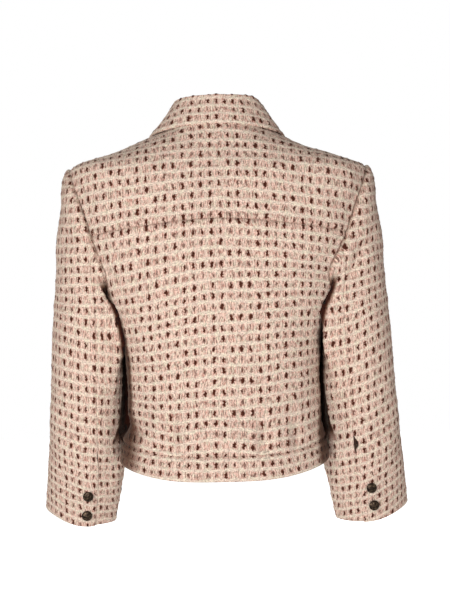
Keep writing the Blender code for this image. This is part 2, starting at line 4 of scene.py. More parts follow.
import bmesh
import bpy
import numpy as np
from mathutils import Euler, Matrix, Vector
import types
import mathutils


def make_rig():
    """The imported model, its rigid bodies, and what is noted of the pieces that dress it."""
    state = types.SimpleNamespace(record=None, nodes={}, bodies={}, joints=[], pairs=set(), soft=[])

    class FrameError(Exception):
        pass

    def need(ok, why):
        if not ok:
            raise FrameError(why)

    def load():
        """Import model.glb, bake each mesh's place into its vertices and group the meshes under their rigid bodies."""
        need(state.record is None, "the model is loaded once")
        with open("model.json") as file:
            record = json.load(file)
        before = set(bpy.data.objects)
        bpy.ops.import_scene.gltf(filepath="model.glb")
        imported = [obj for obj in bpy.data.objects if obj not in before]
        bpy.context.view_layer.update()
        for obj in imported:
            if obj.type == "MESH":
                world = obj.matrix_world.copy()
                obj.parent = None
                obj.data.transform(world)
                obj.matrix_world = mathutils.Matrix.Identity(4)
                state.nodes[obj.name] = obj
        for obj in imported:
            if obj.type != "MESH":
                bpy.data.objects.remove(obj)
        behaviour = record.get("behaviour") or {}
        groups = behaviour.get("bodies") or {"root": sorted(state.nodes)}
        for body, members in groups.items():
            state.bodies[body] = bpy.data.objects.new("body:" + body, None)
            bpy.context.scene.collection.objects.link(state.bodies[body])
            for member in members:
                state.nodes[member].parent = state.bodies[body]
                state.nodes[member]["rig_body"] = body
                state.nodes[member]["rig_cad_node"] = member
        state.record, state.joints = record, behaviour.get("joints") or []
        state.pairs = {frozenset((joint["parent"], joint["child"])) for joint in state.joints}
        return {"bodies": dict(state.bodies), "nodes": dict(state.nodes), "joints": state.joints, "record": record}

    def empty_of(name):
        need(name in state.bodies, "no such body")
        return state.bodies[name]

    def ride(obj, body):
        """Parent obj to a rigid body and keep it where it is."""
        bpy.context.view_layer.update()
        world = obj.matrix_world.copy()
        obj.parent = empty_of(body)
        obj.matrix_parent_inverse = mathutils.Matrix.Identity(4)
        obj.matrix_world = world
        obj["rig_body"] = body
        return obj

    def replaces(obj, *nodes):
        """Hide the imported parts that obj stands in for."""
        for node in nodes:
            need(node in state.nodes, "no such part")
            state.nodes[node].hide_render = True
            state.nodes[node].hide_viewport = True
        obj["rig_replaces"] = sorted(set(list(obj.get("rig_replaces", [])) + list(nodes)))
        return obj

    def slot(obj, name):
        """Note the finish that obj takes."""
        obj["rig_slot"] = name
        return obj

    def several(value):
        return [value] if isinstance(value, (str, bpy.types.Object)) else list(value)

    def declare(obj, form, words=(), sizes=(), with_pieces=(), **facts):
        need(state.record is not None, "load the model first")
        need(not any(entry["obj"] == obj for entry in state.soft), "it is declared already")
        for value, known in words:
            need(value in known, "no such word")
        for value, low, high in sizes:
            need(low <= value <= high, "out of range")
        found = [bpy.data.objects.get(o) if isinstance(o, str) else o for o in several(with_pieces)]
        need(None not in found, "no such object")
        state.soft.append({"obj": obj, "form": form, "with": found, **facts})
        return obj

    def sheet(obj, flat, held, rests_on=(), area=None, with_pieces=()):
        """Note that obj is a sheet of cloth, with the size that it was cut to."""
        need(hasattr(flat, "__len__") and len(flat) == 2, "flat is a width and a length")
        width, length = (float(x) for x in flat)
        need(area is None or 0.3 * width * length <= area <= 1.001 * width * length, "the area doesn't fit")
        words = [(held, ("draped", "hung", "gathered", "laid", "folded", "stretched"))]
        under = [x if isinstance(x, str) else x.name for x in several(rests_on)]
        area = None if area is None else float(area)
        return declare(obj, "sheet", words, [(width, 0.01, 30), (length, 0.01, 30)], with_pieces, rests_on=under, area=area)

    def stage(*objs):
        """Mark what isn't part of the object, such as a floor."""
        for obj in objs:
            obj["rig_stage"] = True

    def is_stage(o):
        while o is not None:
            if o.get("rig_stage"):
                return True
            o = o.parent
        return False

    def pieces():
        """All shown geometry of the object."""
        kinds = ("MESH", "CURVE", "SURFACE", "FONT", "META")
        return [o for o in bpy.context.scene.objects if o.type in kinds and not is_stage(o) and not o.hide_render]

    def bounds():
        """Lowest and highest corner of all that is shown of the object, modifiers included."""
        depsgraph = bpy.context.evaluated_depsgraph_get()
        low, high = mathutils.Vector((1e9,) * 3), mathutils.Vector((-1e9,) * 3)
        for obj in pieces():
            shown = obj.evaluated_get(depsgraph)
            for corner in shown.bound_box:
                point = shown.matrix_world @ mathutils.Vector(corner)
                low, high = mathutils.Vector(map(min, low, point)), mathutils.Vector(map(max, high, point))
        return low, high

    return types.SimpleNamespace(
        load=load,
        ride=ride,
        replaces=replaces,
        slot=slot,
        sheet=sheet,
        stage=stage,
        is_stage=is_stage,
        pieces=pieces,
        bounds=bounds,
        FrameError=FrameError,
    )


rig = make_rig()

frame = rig.load()
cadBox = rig.bounds()

# Everything below is worked out in millimetres and turned to metres as a mesh is made.
# The wearer faces -Y and the wearer's left is +X. Angles round the body run from the centre back to +X.
metre = 0.001


def smoothStep(t):
    t = np.clip(t, 0, 1)
    return t * t * (3 - 2 * t)


def ramp(value, none, full):
    # 0 at none, 1 at full and past it, soft between
    return smoothStep((value - none) / (full - none))


def plateau(value, start, full, stillFull, end):
    # rises softly from start to full and falls again from stillFull to end
    return ramp(value, start, full) * ramp(value, end, stillFull)


def bell(distance, halfWidth):
    return np.exp(-(distance / halfWidth) ** 2)


def smoothCurve(places, values):
    # cubic through the knots that never overshoots them
    order = np.argsort(places)
    x, y = np.array(places, float)[order], np.array(values, float)[order]
    span = np.diff(x)
    slope = np.diff(y) / span
    before, after = slope[:-1], slope[1:]
    sameWay = before * after > 0
    total = np.where(sameWay, before + after, 1)
    tangent = np.concatenate([slope[:1], np.where(sameWay, 2 * before * after / total, 0), slope[-1:]])

    def curve(place):
        place = np.clip(place, x[0], x[-1])
        i = np.clip(np.searchsorted(x, place, side="right") - 1, 0, len(span) - 1)
        t = (place - x[i]) / span[i]
        start = y[i] * (2 * t**3 - 3 * t**2 + 1) + tangent[i] * span[i] * (t**3 - 2 * t**2 + t)
        return start + y[i + 1] * (3 * t**2 - 2 * t**3) + tangent[i + 1] * span[i] * (t**3 - t**2)

    return curve


def tableAt(table, i, j, s, t):
    # the value a share s past row i and t past column j, in a table that repeats
    nextRow, nextColumn = (i + 1) % table.shape[0], (j + 1) % table.shape[1]
    i, j = i % table.shape[0], j % table.shape[1]
    near = table[i, j] * (1 - t) + table[i, nextColumn] * t
    far = table[nextRow, j] * (1 - t) + table[nextRow, nextColumn] * t
    return near * (1 - s) + far * s


def lookUp(table, row, column):
    i = np.clip(row.astype(int), 0, table.shape[0] - 2)
    j = np.clip(column.astype(int), 0, table.shape[1] - 2)
    return tableAt(table, i, j, row - i, column - j)


def softNoise(x, y, size, seed):
    # smooth random hills about one size apart, from -1 to 1
    table = np.random.default_rng(seed).uniform(-1, 1, (64, 64))
    x, y = np.asarray(x) / size, np.asarray(y) / size
    i, j = np.floor(x).astype(int), np.floor(y).astype(int)
    return tableAt(table, i, j, smoothStep(x - i), smoothStep(y - j))


def hills(x, y, layers):
    # layers of soft noise: height, size, seed
    return sum(height * softNoise(x, y, size, seed) for height, size, seed in layers)


def lengthOf(vectors):
    return np.sqrt((vectors**2).sum(-1))


def unit(vectors):
    return vectors / np.maximum(lengthOf(vectors), 1e-12)[..., None]


def runningLength(points, axis):
    # length along the points from the first one
    pad = [(1, 0) if k == axis else (0, 0) for k in range(points.ndim - 1)]
    return np.pad(np.cumsum(lengthOf(np.diff(points, axis=axis)), axis=axis), pad)


body = {
    "sections": (   # height, half width, depth behind, depth in front, squareness
        (30, 44, 54, 26, 2.10), (16, 58, 62, 30, 2.15), (5, 72, 68, 34, 2.20), (0, 84, 71, 35.5, 2.25),
        (-8, 99, 74, 37.5, 2.30), (-20, 127, 79, 40, 2.40), (-35, 173, 85, 43, 2.50),
        (-44, 200, 89, 45.5, 2.60), (-50, 206.5, 91.5, 47.4, 2.65), (-60, 208, 94.5, 52.5, 2.70),
        (-75, 207, 98, 63.5, 2.70), (-104, 202, 103, 84, 2.65), (-150, 190, 108, 103, 2.60),
        (-190, 176, 109, 113, 2.50), (-225, 164, 107, 118, 2.45), (-260, 149, 104, 118, 2.40),
        (-300, 140, 100, 114, 2.35), (-350, 138, 96, 108, 2.30), (-400, 138.5, 95, 105, 2.30),
        (-440, 142, 98, 107, 2.30), (-460, 145.5, 101, 109, 2.30), (-490, 148, 103, 111, 2.30)),
    "neckHalfWidth": 70, "neckBack": 60, "neckFront": 45, "neckSquareness": 2.2,
    "neckClearance": 2.8, "neckLowest": -65, "highest": 30,
    "armholeTop": -47.5, "armholeBottom": -241, "armholeBack": 56, "armholeFront": 62,
    "armholeSwing": {1: (15, 2.42), -1: (24, 2.32)},    # mm the seam swings in over the back, and where
    "yokeSeam": -124,
    "waistSide": -434, "waistBackDip": 15, "waistFrontDip": 4, "waistLevel": 5,
    "frontLap": 15, "rampStart": 34, "rampEnd": 20,
    "wall": 2.0, "seamTrim": 0.05,
}
heights, *columns = zip(*body["sections"])
halfWidth, backDepth, frontDepth, squareness = (smoothCurve(heights, column) for column in columns)


def depthOn(y, height):
    return np.where(y >= 0, backDepth(height), frontDepth(height))


def ovalShare(x, y, wide, deep, square):
    # how far out a point lies, as a share of the way to a squarish oval
    return ((np.abs(x) / wide) ** square + (np.abs(y) / deep) ** square) ** (1 / square)


def ovalRadius(angle, wide, deep, square):
    return 1 / ovalShare(np.sin(angle), np.cos(angle), wide, deep, square)


def sideAt(y, height, most=1):
    # half the form's width at this distance behind or ahead of its middle
    power = squareness(height)
    return halfWidth(height) * (1 - np.clip(np.abs(y) / depthOn(y, height), 0, most) ** power) ** (1 / power)


def bodyRadius(angle, height):
    return ovalRadius(angle, halfWidth(height), depthOn(np.cos(angle), height), squareness(height))


def bodyPoint(angle, height):
    angle, height = np.broadcast_arrays(np.asarray(angle, float), np.asarray(height, float))
    radius = bodyRadius(angle, height)
    return np.stack([radius * np.sin(angle), radius * np.cos(angle), height], -1)


def bodyNormal(angle, height):
    along = bodyPoint(angle + 0.002, height) - bodyPoint(angle - 0.002, height)
    up = bodyPoint(angle, height + 0.2) - bodyPoint(angle, height - 0.2)
    return unit(np.cross(up, along))


def waistSeam(angle):
    dip = np.where(np.cos(angle) >= 0, body["waistBackDip"], body["waistFrontDip"])
    return body["waistSide"] - dip * (1 - np.abs(np.sin(angle)) ** body["waistLevel"])


def neckRadius(angle):
    deep = np.where(np.cos(angle) >= 0, body["neckBack"], body["neckFront"])
    return ovalRadius(angle, body["neckHalfWidth"], deep, body["neckSquareness"])


def halve(function, target, low, high):
    # place between low and high where a falling function comes down to the target
    target = np.asarray(target, float)
    low, high = np.full(target.shape, float(low)), np.full(target.shape, float(high))
    for _ in range(40):
        middle = (low + high) / 2
        above = function(middle) > target
        low, high = np.where(above, middle, low), np.where(above, high, middle)
    return (low + high) / 2


def neckHeight(angle):
    angle = np.asarray(angle, float)
    return halve(lambda z: bodyRadius(angle, z), neckRadius(angle) + body["neckClearance"],
                 body["neckLowest"], body["highest"])


def armholeLine(turn, side=1):
    # the armhole is an upright oval seen from the side: top at 0, back at a quarter turn
    top, bottom = body["armholeTop"], body["armholeBottom"]
    swing, swingTurn = body["armholeSwing"][side]
    height = (top + bottom) / 2 + (top - bottom) / 2 * np.cos(turn)
    y = np.where(np.sin(turn) >= 0, body["armholeBack"], body["armholeFront"]) * np.sin(turn)
    y = y + swing * bell(turn - swingTurn, 0.5) * np.maximum(np.sin(turn), 0) ** 0.5
    return np.stack([np.arctan2(sideAt(y, height), y), height], -1)


def lapRise(points, lift):
    return lift * ramp(points[..., 0], -body["rampStart"], -body["rampEnd"]) * (points[..., 1] < 0)


def lapAngle(height):
    return pi + np.arctan2(body["frontLap"], frontDepth(height))


def mirrored(line):
    return line * (-1, 1)


def shoulderLine(steps):
    # from the shoulder tip to the neck, along the top of the form
    x = np.linspace(halfWidth(body["armholeTop"]), body["neckHalfWidth"] + body["neckClearance"], steps + 1)
    height = halve(halfWidth, x, body["armholeTop"], body["highest"])
    height[0] = body["armholeTop"]
    return np.stack([np.full(steps + 1, pi / 2), height], -1)


def neckLine(start, end, steps):
    angle = np.linspace(start, end, steps + 1)
    return np.stack([angle, neckHeight(angle)], -1)


def waistLine(start, end, steps):
    angle = np.linspace(start, end, steps + 1)
    return np.stack([angle, waistSeam(angle)], -1)


def yokeSeam(steps):
    endAngle, endHeight = armholeLine(np.array(pi / 2))
    otherAngle = armholeLine(np.array(pi / 2), -1)[0]
    angle = np.linspace(-otherAngle, endAngle, steps + 1)
    endAngle = np.where(angle < 0, otherAngle, endAngle)
    return np.stack([angle, body["yokeSeam"] - (body["yokeSeam"] - endHeight) * (angle / endAngle) ** 2], -1)


def sideEdge(sideSteps, armholeSteps, lastTurn, side=1):
    # up the side seam, then round the armhole from its lowest point
    height = np.linspace(body["waistSide"], body["armholeBottom"], sideSteps + 1)
    seam = np.stack([np.full(sideSteps + 1, pi / 2), height], -1)
    return np.concatenate([seam, armholeLine(np.linspace(pi, lastTurn, armholeSteps + 1), side)[1:]])


def fillPatch(bottom, top, start, end, rowsBelow=0):
    # blend four edges in space and take each point back to the form straight out from the middle line
    low, high, first, last = (bodyPoint(line[:, 0], line[:, 1]) for line in (bottom, top, start, end))
    u = np.linspace(0, 1, len(bottom))[:, None, None]
    v = (np.maximum(np.arange(len(start)) - rowsBelow, 0) / (len(start) - 1 - rowsBelow))[None, :, None]
    corners = (low[0] * (1 - v) + high[0] * v) * (1 - u) + (low[-1] * (1 - v) + high[-1] * v) * u
    points = low[:, None] * (1 - v) + high[:, None] * v + first * (1 - u) + last * u - corners
    angle = np.arctan2(points[..., 0], points[..., 1])
    angle = np.where(angle < -pi / 2, angle + 2 * pi, angle)
    patch = np.stack([angle, points[..., 2]], -1)
    patch[:, 0], patch[:, -1], patch[0], patch[-1] = bottom, top, start, end
    return patch


def arcAcross(points, depthAt):
    # length along the level section from the middle out to x; above the fullest width cloth hangs straight
    level = np.linspace(-490, -75, 84)
    share = np.linspace(0, 1, 240)
    turn = np.linspace(0, pi / 2, 600)
    table = []
    for height in level:
        wide = halfWidth(height)
        radius = ovalRadius(turn, wide, depthAt(height), squareness(height))
        section = np.stack([radius * np.sin(turn), radius * np.cos(turn)], -1)
        table.append(np.interp(share, section[:, 0] / wide, runningLength(section, 0)))
    height = np.clip(points[..., 2], level[0], level[-1])
    row = (height - level[0]) / (level[1] - level[0])
    column = np.clip(np.abs(points[..., 0]) / halfWidth(height), 0, 1) * (len(share) - 1)
    return np.sign(points[..., 0]) * lookUp(np.array(table), row, column)


def lengthUp(points):
    # running height up each column, which also counts the way in over the shoulders
    over = ramp(points[..., 2], -150, -90)
    step = np.diff(points, axis=1)
    rise = np.abs(step[..., 2])
    rise += over[:, 1:] * (np.hypot(step[..., 1], step[..., 2]) - rise)
    return np.pad(np.cumsum(rise, axis=1), ((0, 0), (1, 0)))


settling = {
    # how this one hangs a little uneven: centre and reach in x and z, then the shift in x and z, mm
    "rightShoulder": (-170, 120, -40, 110, 0, -3.5),
    "rightForearm": (-250, 70, -500, 130, -4.5, -3.0),
    "leftForearm": (165, 30, -545, 60, 0, 3.0),
}


def settle(points):
    moved = points.copy()
    for x, xReach, z, zReach, shiftX, shiftZ in settling.values():
        share = bell(points[..., 0] - x, xReach) * bell(points[..., 2] - z, zReach)
        moved += share[..., None] * (shiftX, 0, shiftZ)
    return moved


weave = {
    "across": 12.5, "up": 14.6,     # mm between tufts, along a row and from row to row
    "centre": 1.7,                  # mm from the middle of the back to its column of tufts
    "chart": ("032", "213", "012", "312", "212", "031", "312", "131", "312", "032", "311", "311", "301"),
    "strengthSpread": (0.86, 0.5),
    "jitter": (0.5, 0.8),           # mm that a tuft strays from its place
    "least": (1.0, 3.0), "most": (2.6, 5.0),     # half width and half height of a tuft, mm
    "randomColumn": 0.7548776662, "randomRow": 0.5698402910, "randomTurns": (133.1, 71.9, 91.7),
    "tuftHeight": 1.05, "weftHeight": 0.5, "weftFrom": (0.27, 0.44),     # mm, and cells from the row
    "slubs": (0.35, 7, 11), "knobble": (0.22, 2.9, 12),      # height, size and seed of soft noise, mm
    "strayAcross": ((0.8, 31, 21), (0.35, 9, 22)), "strayUp": ((0.9, 37, 23), (0.4, 9, 24)),
    "pucker": (0.5, 11, 25),
    "slack": ((1.3, 44, 26), (0.65, 19, 27)),       # how the soft cloth wavers from its form
}
chart = np.array([[int(digit) / 3 for digit in column] for column in weave["chart"]])


def tuftsAt(u, v):
    # strength of the cell's tuft, and how far the point lies from its middle as a share of its size
    column, row = np.floor(u / weave["across"]), np.floor(v / weave["up"])
    first = (column * weave["randomColumn"] + row * weave["randomRow"]) % 1
    strayAcross, strayUp, spread = (first * turn % 1 for turn in weave["randomTurns"])
    low, gain = weave["strengthSpread"]
    strength = chart[column.astype(int) % len(chart), row.astype(int) % 3] * (low + gain * spread)
    strength = np.clip(strength, 0, 1)
    dx = u - (column + 0.5) * weave["across"] - weave["jitter"][0] * (2 * strayAcross - 1)
    dy = v - (row + 0.5) * weave["up"] - weave["jitter"][1] * (2 * strayUp - 1)
    wide, tall = (low + (high - low) * strength for low, high in zip(weave["least"], weave["most"]))
    return strength, np.hypot(dx / wide, dy / tall)


def weaveRelief(u, v):
    strength, away = tuftsAt(u, v)
    tuft = weave["tuftHeight"] * strength * bell(away, 0.95)
    fromRow = np.abs(v / weave["up"] % 1 - 0.5)
    weft = weave["weftHeight"] * ramp(fromRow, *weave["weftFrom"]) * (1 + hills(u, v, [weave["slubs"]]))
    return tuft + weft + hills(u, v, [weave["knobble"]])


def gridNormals(points):
    # columns run so that this points out of the cloth's right side
    along, up = np.gradient(points, axis=0), np.gradient(points, axis=1)
    return unit(np.cross(up, along))


def trimEdges(points, amount):
    # draw the four edges in along the cloth, to leave the seams their gap
    trimmed = points.copy()
    for side in (0, 1):
        grid = points if side == 0 else points.swapaxes(0, 1)
        target = trimmed if side == 0 else trimmed.swapaxes(0, 1)
        for edge, inside in ((0, 1), (-1, -2)):
            along = unit(np.gradient(grid[edge], axis=0))
            inward = grid[inside] - grid[edge]
            target[edge] += unit(inward - along * (inward * along).sum(-1)[..., None]) * amount
    return trimmed


def edgeDistances(points):
    along, up = runningLength(points, 0), runningLength(points, 1)
    return {"start": along, "end": along[-1:] - along, "low": up, "high": up[:, -1:] - up}


# valley at an edge: depth and width; ridge behind it: height, place and width, mm; shade in the valley
edgeKinds = {
    "seam": (1.15, 2.2, 0.7, 5.4, 2.6, 0.08),       # turned in beneath, so it sinks between two soft ridges
    "level": (0.8, 1.8, 0.5, 5.4, 2.6, 0.0),        # the waist seam, which hardly shows
    "pressed": (0.45, 1.2, 0.2, 5.0, 3.0, 0.0),     # steamed flat, down the arms
    "roped": (1.35, 2.6, 1.6, 6.4, 3.8, 0.18),      # sleeve head eased over its turnings
    "folded": (0.9, 1.3, 0.3, 4.0, 2.4, 0.0),       # finished edge, puffed a little behind its fold
}


def calmAtButtons(points):
    # a button presses the pile flat beneath it
    nearest = np.full(points.shape[:2], 100.0)
    for seat, _ in buttonSeats:
        nearest = np.minimum(nearest, lengthOf(points - seat))
    return smoothStep((nearest - 7.5) / 4)


def clothMesh(name, points, u, v, wall, edges, plain=0, nook=0, lip=0, coarser=4):
    # a fine right side with the weave in relief and a plain wrong side, joined round the rim
    points = trimEdges(settle(points), body["seamTrim"])
    outward = gridNormals(points)
    distance = edgeDistances(points)
    u = u + hills(u, v, weave["strayAcross"])
    v = v + hills(u, v, weave["strayUp"])
    nearest = np.minimum.reduce([distance[edge] for edge in edges])
    relief = weaveRelief(u, v) * ramp(nearest, -1, 3) * calmAtButtons(points) * (1 - plain)
    pucker = hills(u, v, [weave["pucker"]])
    # painted shade that the material darkens the colour by: given where layers press together, and added in the seam
    # valleys
    shade = nook + 0 * u
    for edge, kind in edges.items():
        valley, valleyWidth, ridge, place, ridgeWidth, dark = edgeKinds[kind]
        relief += ridge * (1 + pucker) * bell(distance[edge] - place, ridgeWidth)
        relief -= valley * bell(distance[edge], valleyWidth)
        shade = np.maximum(shade, dark * (1 + 2 * pucker) * bell(distance[edge], 2.2))
    points = points + outward * (hills(u, v, weave["slack"]) * ramp(nearest, 0, 14))[..., None]
    outer = points + outward * (wall / 2 + relief)[..., None]
    inner = (points - outward * (wall / 2))[::coarser, ::coarser]
    inner[:, -1] += unit(inner[:, -1] - inner[:, -2]) * lip     # turned up behind the seam, against the light

    bm = bmesh.new()
    for grid in (outer, inner):
        columns, rows = grid.shape[:2]
        made = bmesh.ops.create_grid(bm, x_segments=columns - 1, y_segments=rows - 1, size=1)
        for vert, place in zip(made["verts"], grid.swapaxes(0, 1).reshape(-1, 3) * metre):
            vert.co = place
    bmesh.ops.bridge_loops(bm, edges=[edge for edge in bm.edges if edge.is_boundary])
    bmesh.ops.recalc_face_normals(bm, faces=bm.faces[:])
    if bm.calc_volume(signed=True) < 0:     # a thin curved shell can come out turned inwards
        bmesh.ops.reverse_faces(bm, faces=bm.faces[:])
    mesh = finishMesh(name, bm, 75)

    def byVertex(grid):
        sides = (grid, grid[::coarser, ::coarser])
        rows = [side.swapaxes(0, 1).reshape(-1, *grid.shape[2:]) for side in sides]
        return np.concatenate(rows).astype(np.float32)

    corner = np.empty(len(mesh.loops), int)
    mesh.loops.foreach_get("vertex_index", corner)
    laid = byVertex(np.stack([u, v], -1) * metre)
    mesh.uv_layers.new(name="cloth").data.foreach_set("uv", laid[corner].ravel())
    mesh.attributes.new("nook", "FLOAT", "POINT").data.foreach_set("value", byVertex(shade))
    return mesh


def finishMesh(name, bm, sharpFrom=180):
    mesh = bpy.data.meshes.new(name)
    bm.to_mesh(mesh)
    bm.free()
    mesh.shade_smooth()
    mesh.set_sharp_from_angle(angle=radians(sharpFrom))
    return mesh


def addObject(name, data):
    made = bpy.data.objects.new(name, data)
    bpy.context.scene.collection.objects.link(made)
    return made


def addPiece(name, mesh, material, node, slot):
    piece = addObject(name, mesh)
    mesh.materials.append(material)
    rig.ride(piece, "root")
    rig.replaces(piece, node)
    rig.slot(piece, slot)
    return piece


def addCloth(name, node, points, u, v, cut, wall=body["wall"], **options):
    mesh = clothMesh(name, points, u, v, wall, **options)
    piece = addPiece(name, mesh, tweed, node, "tweed")
    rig.sheet(piece, **cut)
    print(f"{name}: {len(mesh.polygons)} faces")


def colour(code):
    # sRGB hex to linear
    parts = [int(code[i:i + 2], 16) / 255 for i in (1, 3, 5)]
    return (*(part / 12.92 if part <= 0.04045 else ((part + 0.055) / 1.055) ** 2.4 for part in parts), 1)


def addNode(tree, kind, inputs=(), **settings):
    # inputs go in the order of the sockets, or by name
    node = tree.nodes.new("ShaderNode" + kind)
    for name, value in settings.items():
        setattr(node, name, value)
    shown = [socket for socket in node.inputs if socket.enabled]
    if isinstance(inputs, dict):
        shown = [next(socket for socket in shown if socket.name == name) for name in inputs]
        inputs = inputs.values()
    for socket, value in zip(shown, inputs):
        if isinstance(value, bpy.types.NodeSocket):
            tree.links.new(value, socket)
        else:
            socket.default_value = value
    return next((socket for socket in node.outputs if socket.enabled), None)


def newTree(owner):
    owner.use_nodes = True
    owner.node_tree.nodes.clear()
    return owner.node_tree


def fillRamp(socket, stops, interpolation="LINEAR"):
    scale = socket.node.color_ramp
    scale.interpolation = interpolation
    while len(scale.elements) < len(stops):
        scale.elements.new(0.5)
    for element, (place, value) in zip(scale.elements, stops):
        element.position = place
        element.color = value
    return socket


tweedLook = {
    "cream": "#f0deca", "creamPink": "#edd4c3", "creamGold": "#ebdec6",
    "rose": "#e1b7a6", "roseLight": "#eaccba", "tan": "#e0cab3",
    "roseHair": "#ad6758", "brownHair": "#75503f", "oliveHair": "#85735d",
    # 7a5030 is the warm brown of the painted shade where layers press together
    "tuft": "#4a2418", "tuftEdge": "#7b4737", "nook": "#7a5030",
    "ground": ((0.32, "tan"), (0.44, "roseLight"), (0.56, "rose"), (0.72, "roseLight")),
    "pale": ((0.35, "creamGold"), (0.5, "cream"), (0.66, "creamPink")),
    "hairs": (      # threshold and strength
        ("brownHair", 0.58, 0.7), ("oliveHair", 0.595, 0.5), ("roseHair", 0.565, 0.55)),
    "pull": (3.2, 0, 0), "narrowing": (0.38, 0.62, 0.62, 1.2),      # uneven yarn moves and narrows a tuft
    "fray": 0.7, "tuftFrom": (1.47, 1.12), "coreFrom": (1.3, 0.8), "shownFrom": (0.06, 0.52),
    "hairWidth": 0.07, "twist": (0.58, 0.7, 0, 0.5), "curlSize": 1.7, "curlDepth": -0.35, "tuftDepth": 0.5,
    "loopShade": (0.34, 0.62, 1.05, 0.74), "curlShade": (0.2, 0.7, 1.04, 0.72),
    "paleYarns": (("Y", 0.27, 0.42, 0.85), ("X", 0.33, 0.46, 0.55)),    # from where in a cell, how strong
    "noises": {     # mm across and up the cloth, detail, roughness
        "picks": (14, 3.4, 1.0, 0.5), "fray": (1.3, 3.4, 2.0, 0.55), "patches": (6, 6, 2.0, 0.6),
        "marl": (9, 9, 3.0, 0.7), "upright": (1.6, 7.5, 1.5, 0.6), "lying": (4.5, 1.6, 1.5, 0.6)},
    "roughness": 0.92, "specular": 0.15, "sheen": 0.11, "sheenRoughness": 0.5,
}


def tweedMaterial():
    # wool and cotton boucle tweed, loosely woven: looped yarns scatter light and never shine
    material = bpy.data.materials.new("Boucle tweed")
    tree = newTree(material)

    def add(kind, inputs=(), **settings):
        return addNode(tree, kind, inputs, **settings)

    def number(operation, *inputs, **settings):
        return add("Math", inputs, operation=operation, **settings)

    def vector(operation, *inputs):
        return add("VectorMath", inputs, operation=operation)

    def soft(*inputs):
        return add("MapRange", inputs, interpolation_type="SMOOTHSTEP")

    def mix(*inputs, **settings):
        return add("Mix", inputs, data_type="RGBA", **settings)

    def tone(name):
        return colour(tweedLook[name])

    across, up = weave["across"], weave["up"]
    inMm = vector("MULTIPLY", add("UVMap", uv_map="cloth"), (1000, 1000, 0))
    inCells = vector("MULTIPLY", inMm, (1 / across, 1 / up, 0))
    cell = vector("FLOOR", inCells)
    within = vector("SUBTRACT", inCells, (0.5, 0.5, 0))
    within = vector("SUBTRACT", within, cell)
    noise = {}
    for name, (wide, tall, detail, rough) in tweedLook["noises"].items():
        stretched = vector("MULTIPLY", inMm, (1 / wide, 1 / tall, 0))
        inputs = {"Vector": stretched, "Scale": 1.0, "Detail": detail, "Roughness": rough}
        noise[name] = add("TexNoise", inputs, noise_dimensions="2D")

    # one random number a cell, spun into three
    mixed = vector("DOT_PRODUCT", cell, (weave["randomColumn"], weave["randomRow"], 0))
    mixed = number("FRACT", mixed)
    spun = vector("MULTIPLY", mixed, weave["randomTurns"])
    spun = vector("FRACTION", spun)
    spread = add("SeparateXYZ", (spun,)).node.outputs["Z"]

    # the chart gives each column three strengths, and the row picks one of them
    place = vector("ADD", cell, (0.5, 0.5, 0))
    place = vector("MULTIPLY", place, (1 / len(chart), 1 / 3, 0))
    place = vector("FRACTION", place)
    place = add("SeparateXYZ", (place,)).node.outputs
    columns = [(k / len(chart), (*row, 1)) for k, row in enumerate(chart)]
    rows = [(0, (1, 0, 0, 1)), (1 / 3, (0, 1, 0, 1)), (2 / 3, (0, 0, 1, 1))]
    picked = [fillRamp(add("ValToRGB", (place[axis],)), stops, "CONSTANT")
              for axis, stops in (("X", columns), ("Y", rows))]
    strength = vector("DOT_PRODUCT", *picked)
    low, gain = weave["strengthSpread"]
    spread = number("MULTIPLY_ADD", spread, gain, low)
    strength = number("MULTIPLY", strength, spread, use_clamp=True)

    # distance from the tuft's middle, as a share of its size, frayed by its fibres
    jitter = weave["jitter"]
    offset = vector("MULTIPLY_ADD", within, (across, up, 0), (*jitter, 0))
    stray = vector("MULTIPLY", spun, (2 * jitter[0], 2 * jitter[1], 0))
    offset = vector("SUBTRACT", offset, stray)
    pull = vector("SUBTRACT", noise["picks"].node.outputs["Color"], (0.5, 0.5, 0.5))
    offset = vector("MULTIPLY_ADD", pull, tweedLook["pull"], offset)
    narrow = add("SeparateColor", (noise["picks"].node.outputs["Color"],)).node.outputs["Green"]
    narrow = add("MapRange", (narrow, *tweedLook["narrowing"]))
    size = add("Mix", (strength, (*weave["least"], 1), (*weave["most"], 1)), data_type="VECTOR")
    size = vector("MULTIPLY", size, add("CombineXYZ", (narrow, 1.0, 1.0)))
    away = vector("DIVIDE", offset, size)
    away = vector("LENGTH", away)
    away = number("MULTIPLY_ADD", noise["fray"], tweedLook["fray"], away)
    tuft = soft(away, *tweedLook["tuftFrom"])
    shown = soft(strength, *tweedLook["shownFrom"])
    tuft = number("MULTIPLY", tuft, shown)
    core = soft(away, *tweedLook["coreFrom"])

    # pale weft between the tuft rows and pale warp between the tuft columns
    fromMiddle = vector("ABSOLUTE", within)
    fromMiddle = add("SeparateXYZ", (fromMiddle,)).node.outputs
    ripple = number("MULTIPLY_ADD", noise["patches"], 0.5, -0.25)
    paleYarns = []
    for axis, start, end, most in tweedLook["paleYarns"]:
        outward = number("ADD", fromMiddle[axis], ripple)
        paleYarns.append(soft(outward, start, end, 0, most))
    weft, warp = paleYarns

    # marled ground in patches a few yarns wide, with short hairs of other yarns upright in the rows
    ground, pale = (
        fillRamp(add("ValToRGB", (noise["marl"],)), [(at, tone(name)) for at, name in tweedLook[kind]])
        for kind in ("ground", "pale"))
    hairs = add("SeparateColor", (noise["upright"].node.outputs["Color"],)).node.outputs
    for part, (name, start, most) in zip(hairs, tweedLook["hairs"]):
        hair = soft(part, start, start + tweedLook["hairWidth"], 0, most)
        ground = mix(hair, ground, tone(name))
    twist = soft(noise["lying"], *tweedLook["twist"])
    pale = mix(twist, pale, tone("rose"))
    ground = mix(number("MAXIMUM", weft, warp), ground, pale)
    dark = mix(core, tone("tuftEdge"), tone("tuft"))
    seen = mix(tuft, ground, dark)

